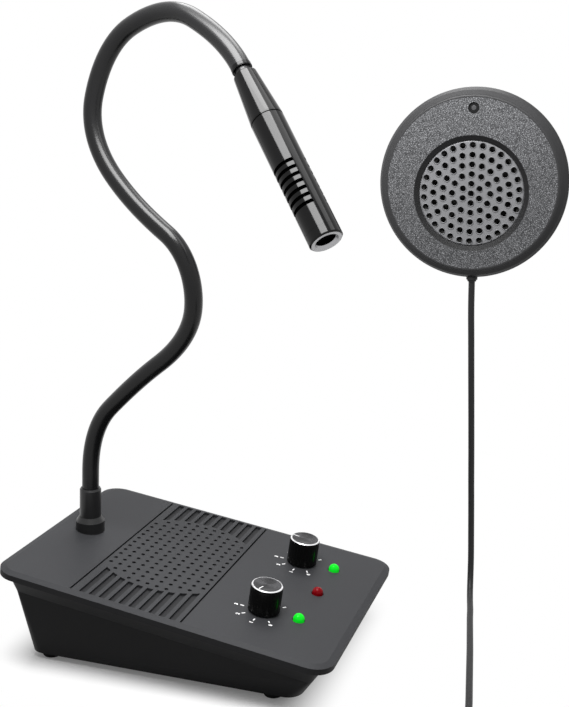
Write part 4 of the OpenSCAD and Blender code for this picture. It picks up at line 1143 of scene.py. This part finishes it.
def white_floor():
    made = bpy.data.materials.new("white_floor")
    made.use_nodes = True
    tree = made.node_tree
    tree.nodes.clear()
    path = add_node(tree, "ShaderNodeLightPath")
    glossy = calc(tree, "ADD", path.outputs["Is Camera Ray"], path.outputs["Is Glossy Ray"], clamp=True)
    seen = calc(tree, "ADD", glossy, path.outputs["Is Transmission Ray"], clamp=True)
    place = object_place(tree)
    offset = vector_calc(tree, "SUBTRACT", place, FOOTPRINT_MIDDLE)
    aside = vector_calc(tree, "ABSOLUTE", offset)
    beyond = vector_calc(tree, "SUBTRACT", aside, FOOTPRINT_HALF)
    outside = vector_calc(tree, "MAXIMUM", beyond, (0, 0, 0))
    distance = vector_calc(tree, "LENGTH", outside)
    fade = {"Value": distance, "From Min": FLOOR_NEAR, "From Max": FLOOR_FAR}
    far = add_node(tree, "ShaderNodeMapRange", fade, interpolation_type="SMOOTHSTEP").outputs[0]
    plain = add_node(tree, "ShaderNodeBsdfDiffuse", {"Color": (0.5, 0.5, 0.5, 1)})
    shadowed = add_node(tree, "ShaderNodeBsdfDiffuse", {"Color": (0.9, 0.9, 0.9, 1)})
    glow = add_node(tree, "ShaderNodeEmission", {"Color": (1, 1, 1, 1), "Strength": FLOOR_GLOW})
    near_white = add_node(tree, "ShaderNodeAddShader", {0: shadowed.outputs[0], 1: glow.outputs[0]})
    far_white = add_node(tree, "ShaderNodeEmission", {"Color": (1, 1, 1, 1), "Strength": 1.0})
    white = add_node(tree, "ShaderNodeMixShader", {0: far, 1: near_white.outputs[0], 2: far_white.outputs[0]})
    both = add_node(tree, "ShaderNodeMixShader", {0: seen, 1: plain.outputs[0], 2: white.outputs[0]})
    add_node(tree, "ShaderNodeOutputMaterial", {"Surface": both.outputs[0]})
    return made


FLOOR_HALF = 30.0
floor_corners = [(-FLOOR_HALF, -FLOOR_HALF, 0), (FLOOR_HALF, -FLOOR_HALF, 0),
                 (FLOOR_HALF, FLOOR_HALF, 0), (-FLOOR_HALF, FLOOR_HALF, 0)]
floor_mesh = bpy.data.meshes.new("floor")
floor_mesh.from_pydata(floor_corners, [], [(0, 1, 2, 3)])
floor_mesh.materials.append(white_floor())
floor = bpy.data.objects.new("floor", floor_mesh)
bpy.context.scene.collection.objects.link(floor)

world = bpy.data.worlds.new("white_room")
bpy.context.scene.world = world
world.use_nodes = True
world_tree = world.node_tree
world_tree.nodes.clear()
path = add_node(world_tree, "ShaderNodeLightPath")
mirrored = calc(world_tree, "ADD", path.outputs["Is Glossy Ray"], path.outputs["Is Transmission Ray"],
                clamp=True)
seen = calc(world_tree, "ADD", path.outputs["Is Camera Ray"], mirrored, clamp=True)
white = add_node(world_tree, "ShaderNodeBackground", {"Color": (1, 1, 1, 1), "Strength": 1.0})
room = add_node(world_tree, "ShaderNodeBackground", {"Color": (1, 1, 1, 1), "Strength": ROOM_LIGHT})
either = add_node(world_tree, "ShaderNodeMixShader", {0: seen, 1: room.outputs[0], 2: white.outputs[0]})
add_node(world_tree, "ShaderNodeOutputWorld", {"Surface": either.outputs[0]})

# %% [markdown]
# The main lamp hangs above and behind, as for most product pictures of dark
# things: it draws a sheen over the plate and throws short shadows forwards.
# A second, smaller one hangs over the microphone, turned along it, and draws
# its long bright streak. A third grazes the outside speaker from above, so that
# its face darkens downwards and the funnel's upper side lies in shadow.

# %% Lamps
def softbox(name, place, target, side, width, height, power):
    """A rectangular lamp that faces the target, with its width along side."""
    data = bpy.data.lights.new(name, "AREA")
    data.shape = "RECTANGLE"
    data.size, data.size_y = width, height
    data.energy = power
    lamp = bpy.data.objects.new(name, data)
    lamp.visible_camera = False
    bpy.context.scene.collection.objects.link(lamp)
    lamp.location = place
    away = (Vector(place) - Vector(target)).normalized()
    up = away.cross(Vector(side)).normalized()
    lamp.matrix_world = Matrix.Translation(place) @ Matrix((up.cross(away), up, away)).transposed().to_4x4()


softbox("back_top", (-0.12, 0.6, 1.15), (0, 0, 0.03), (1, 0, 0), 0.75, 0.5, 8.5)
softbox("over_speaker", (0.07, -0.03, 0.39), (0.0765, 0.074, 0.233), (1, 0, 0), 0.3, 0.14, 0.42)
softbox("over_microphone", (-0.0045, -0.141, 0.442), (0.02, -0.069, 0.26), (-0.568, 0.643, 0.514),
        0.19, 0.16, 2.0)
print("lamps:", [data.name for data in bpy.data.lights])
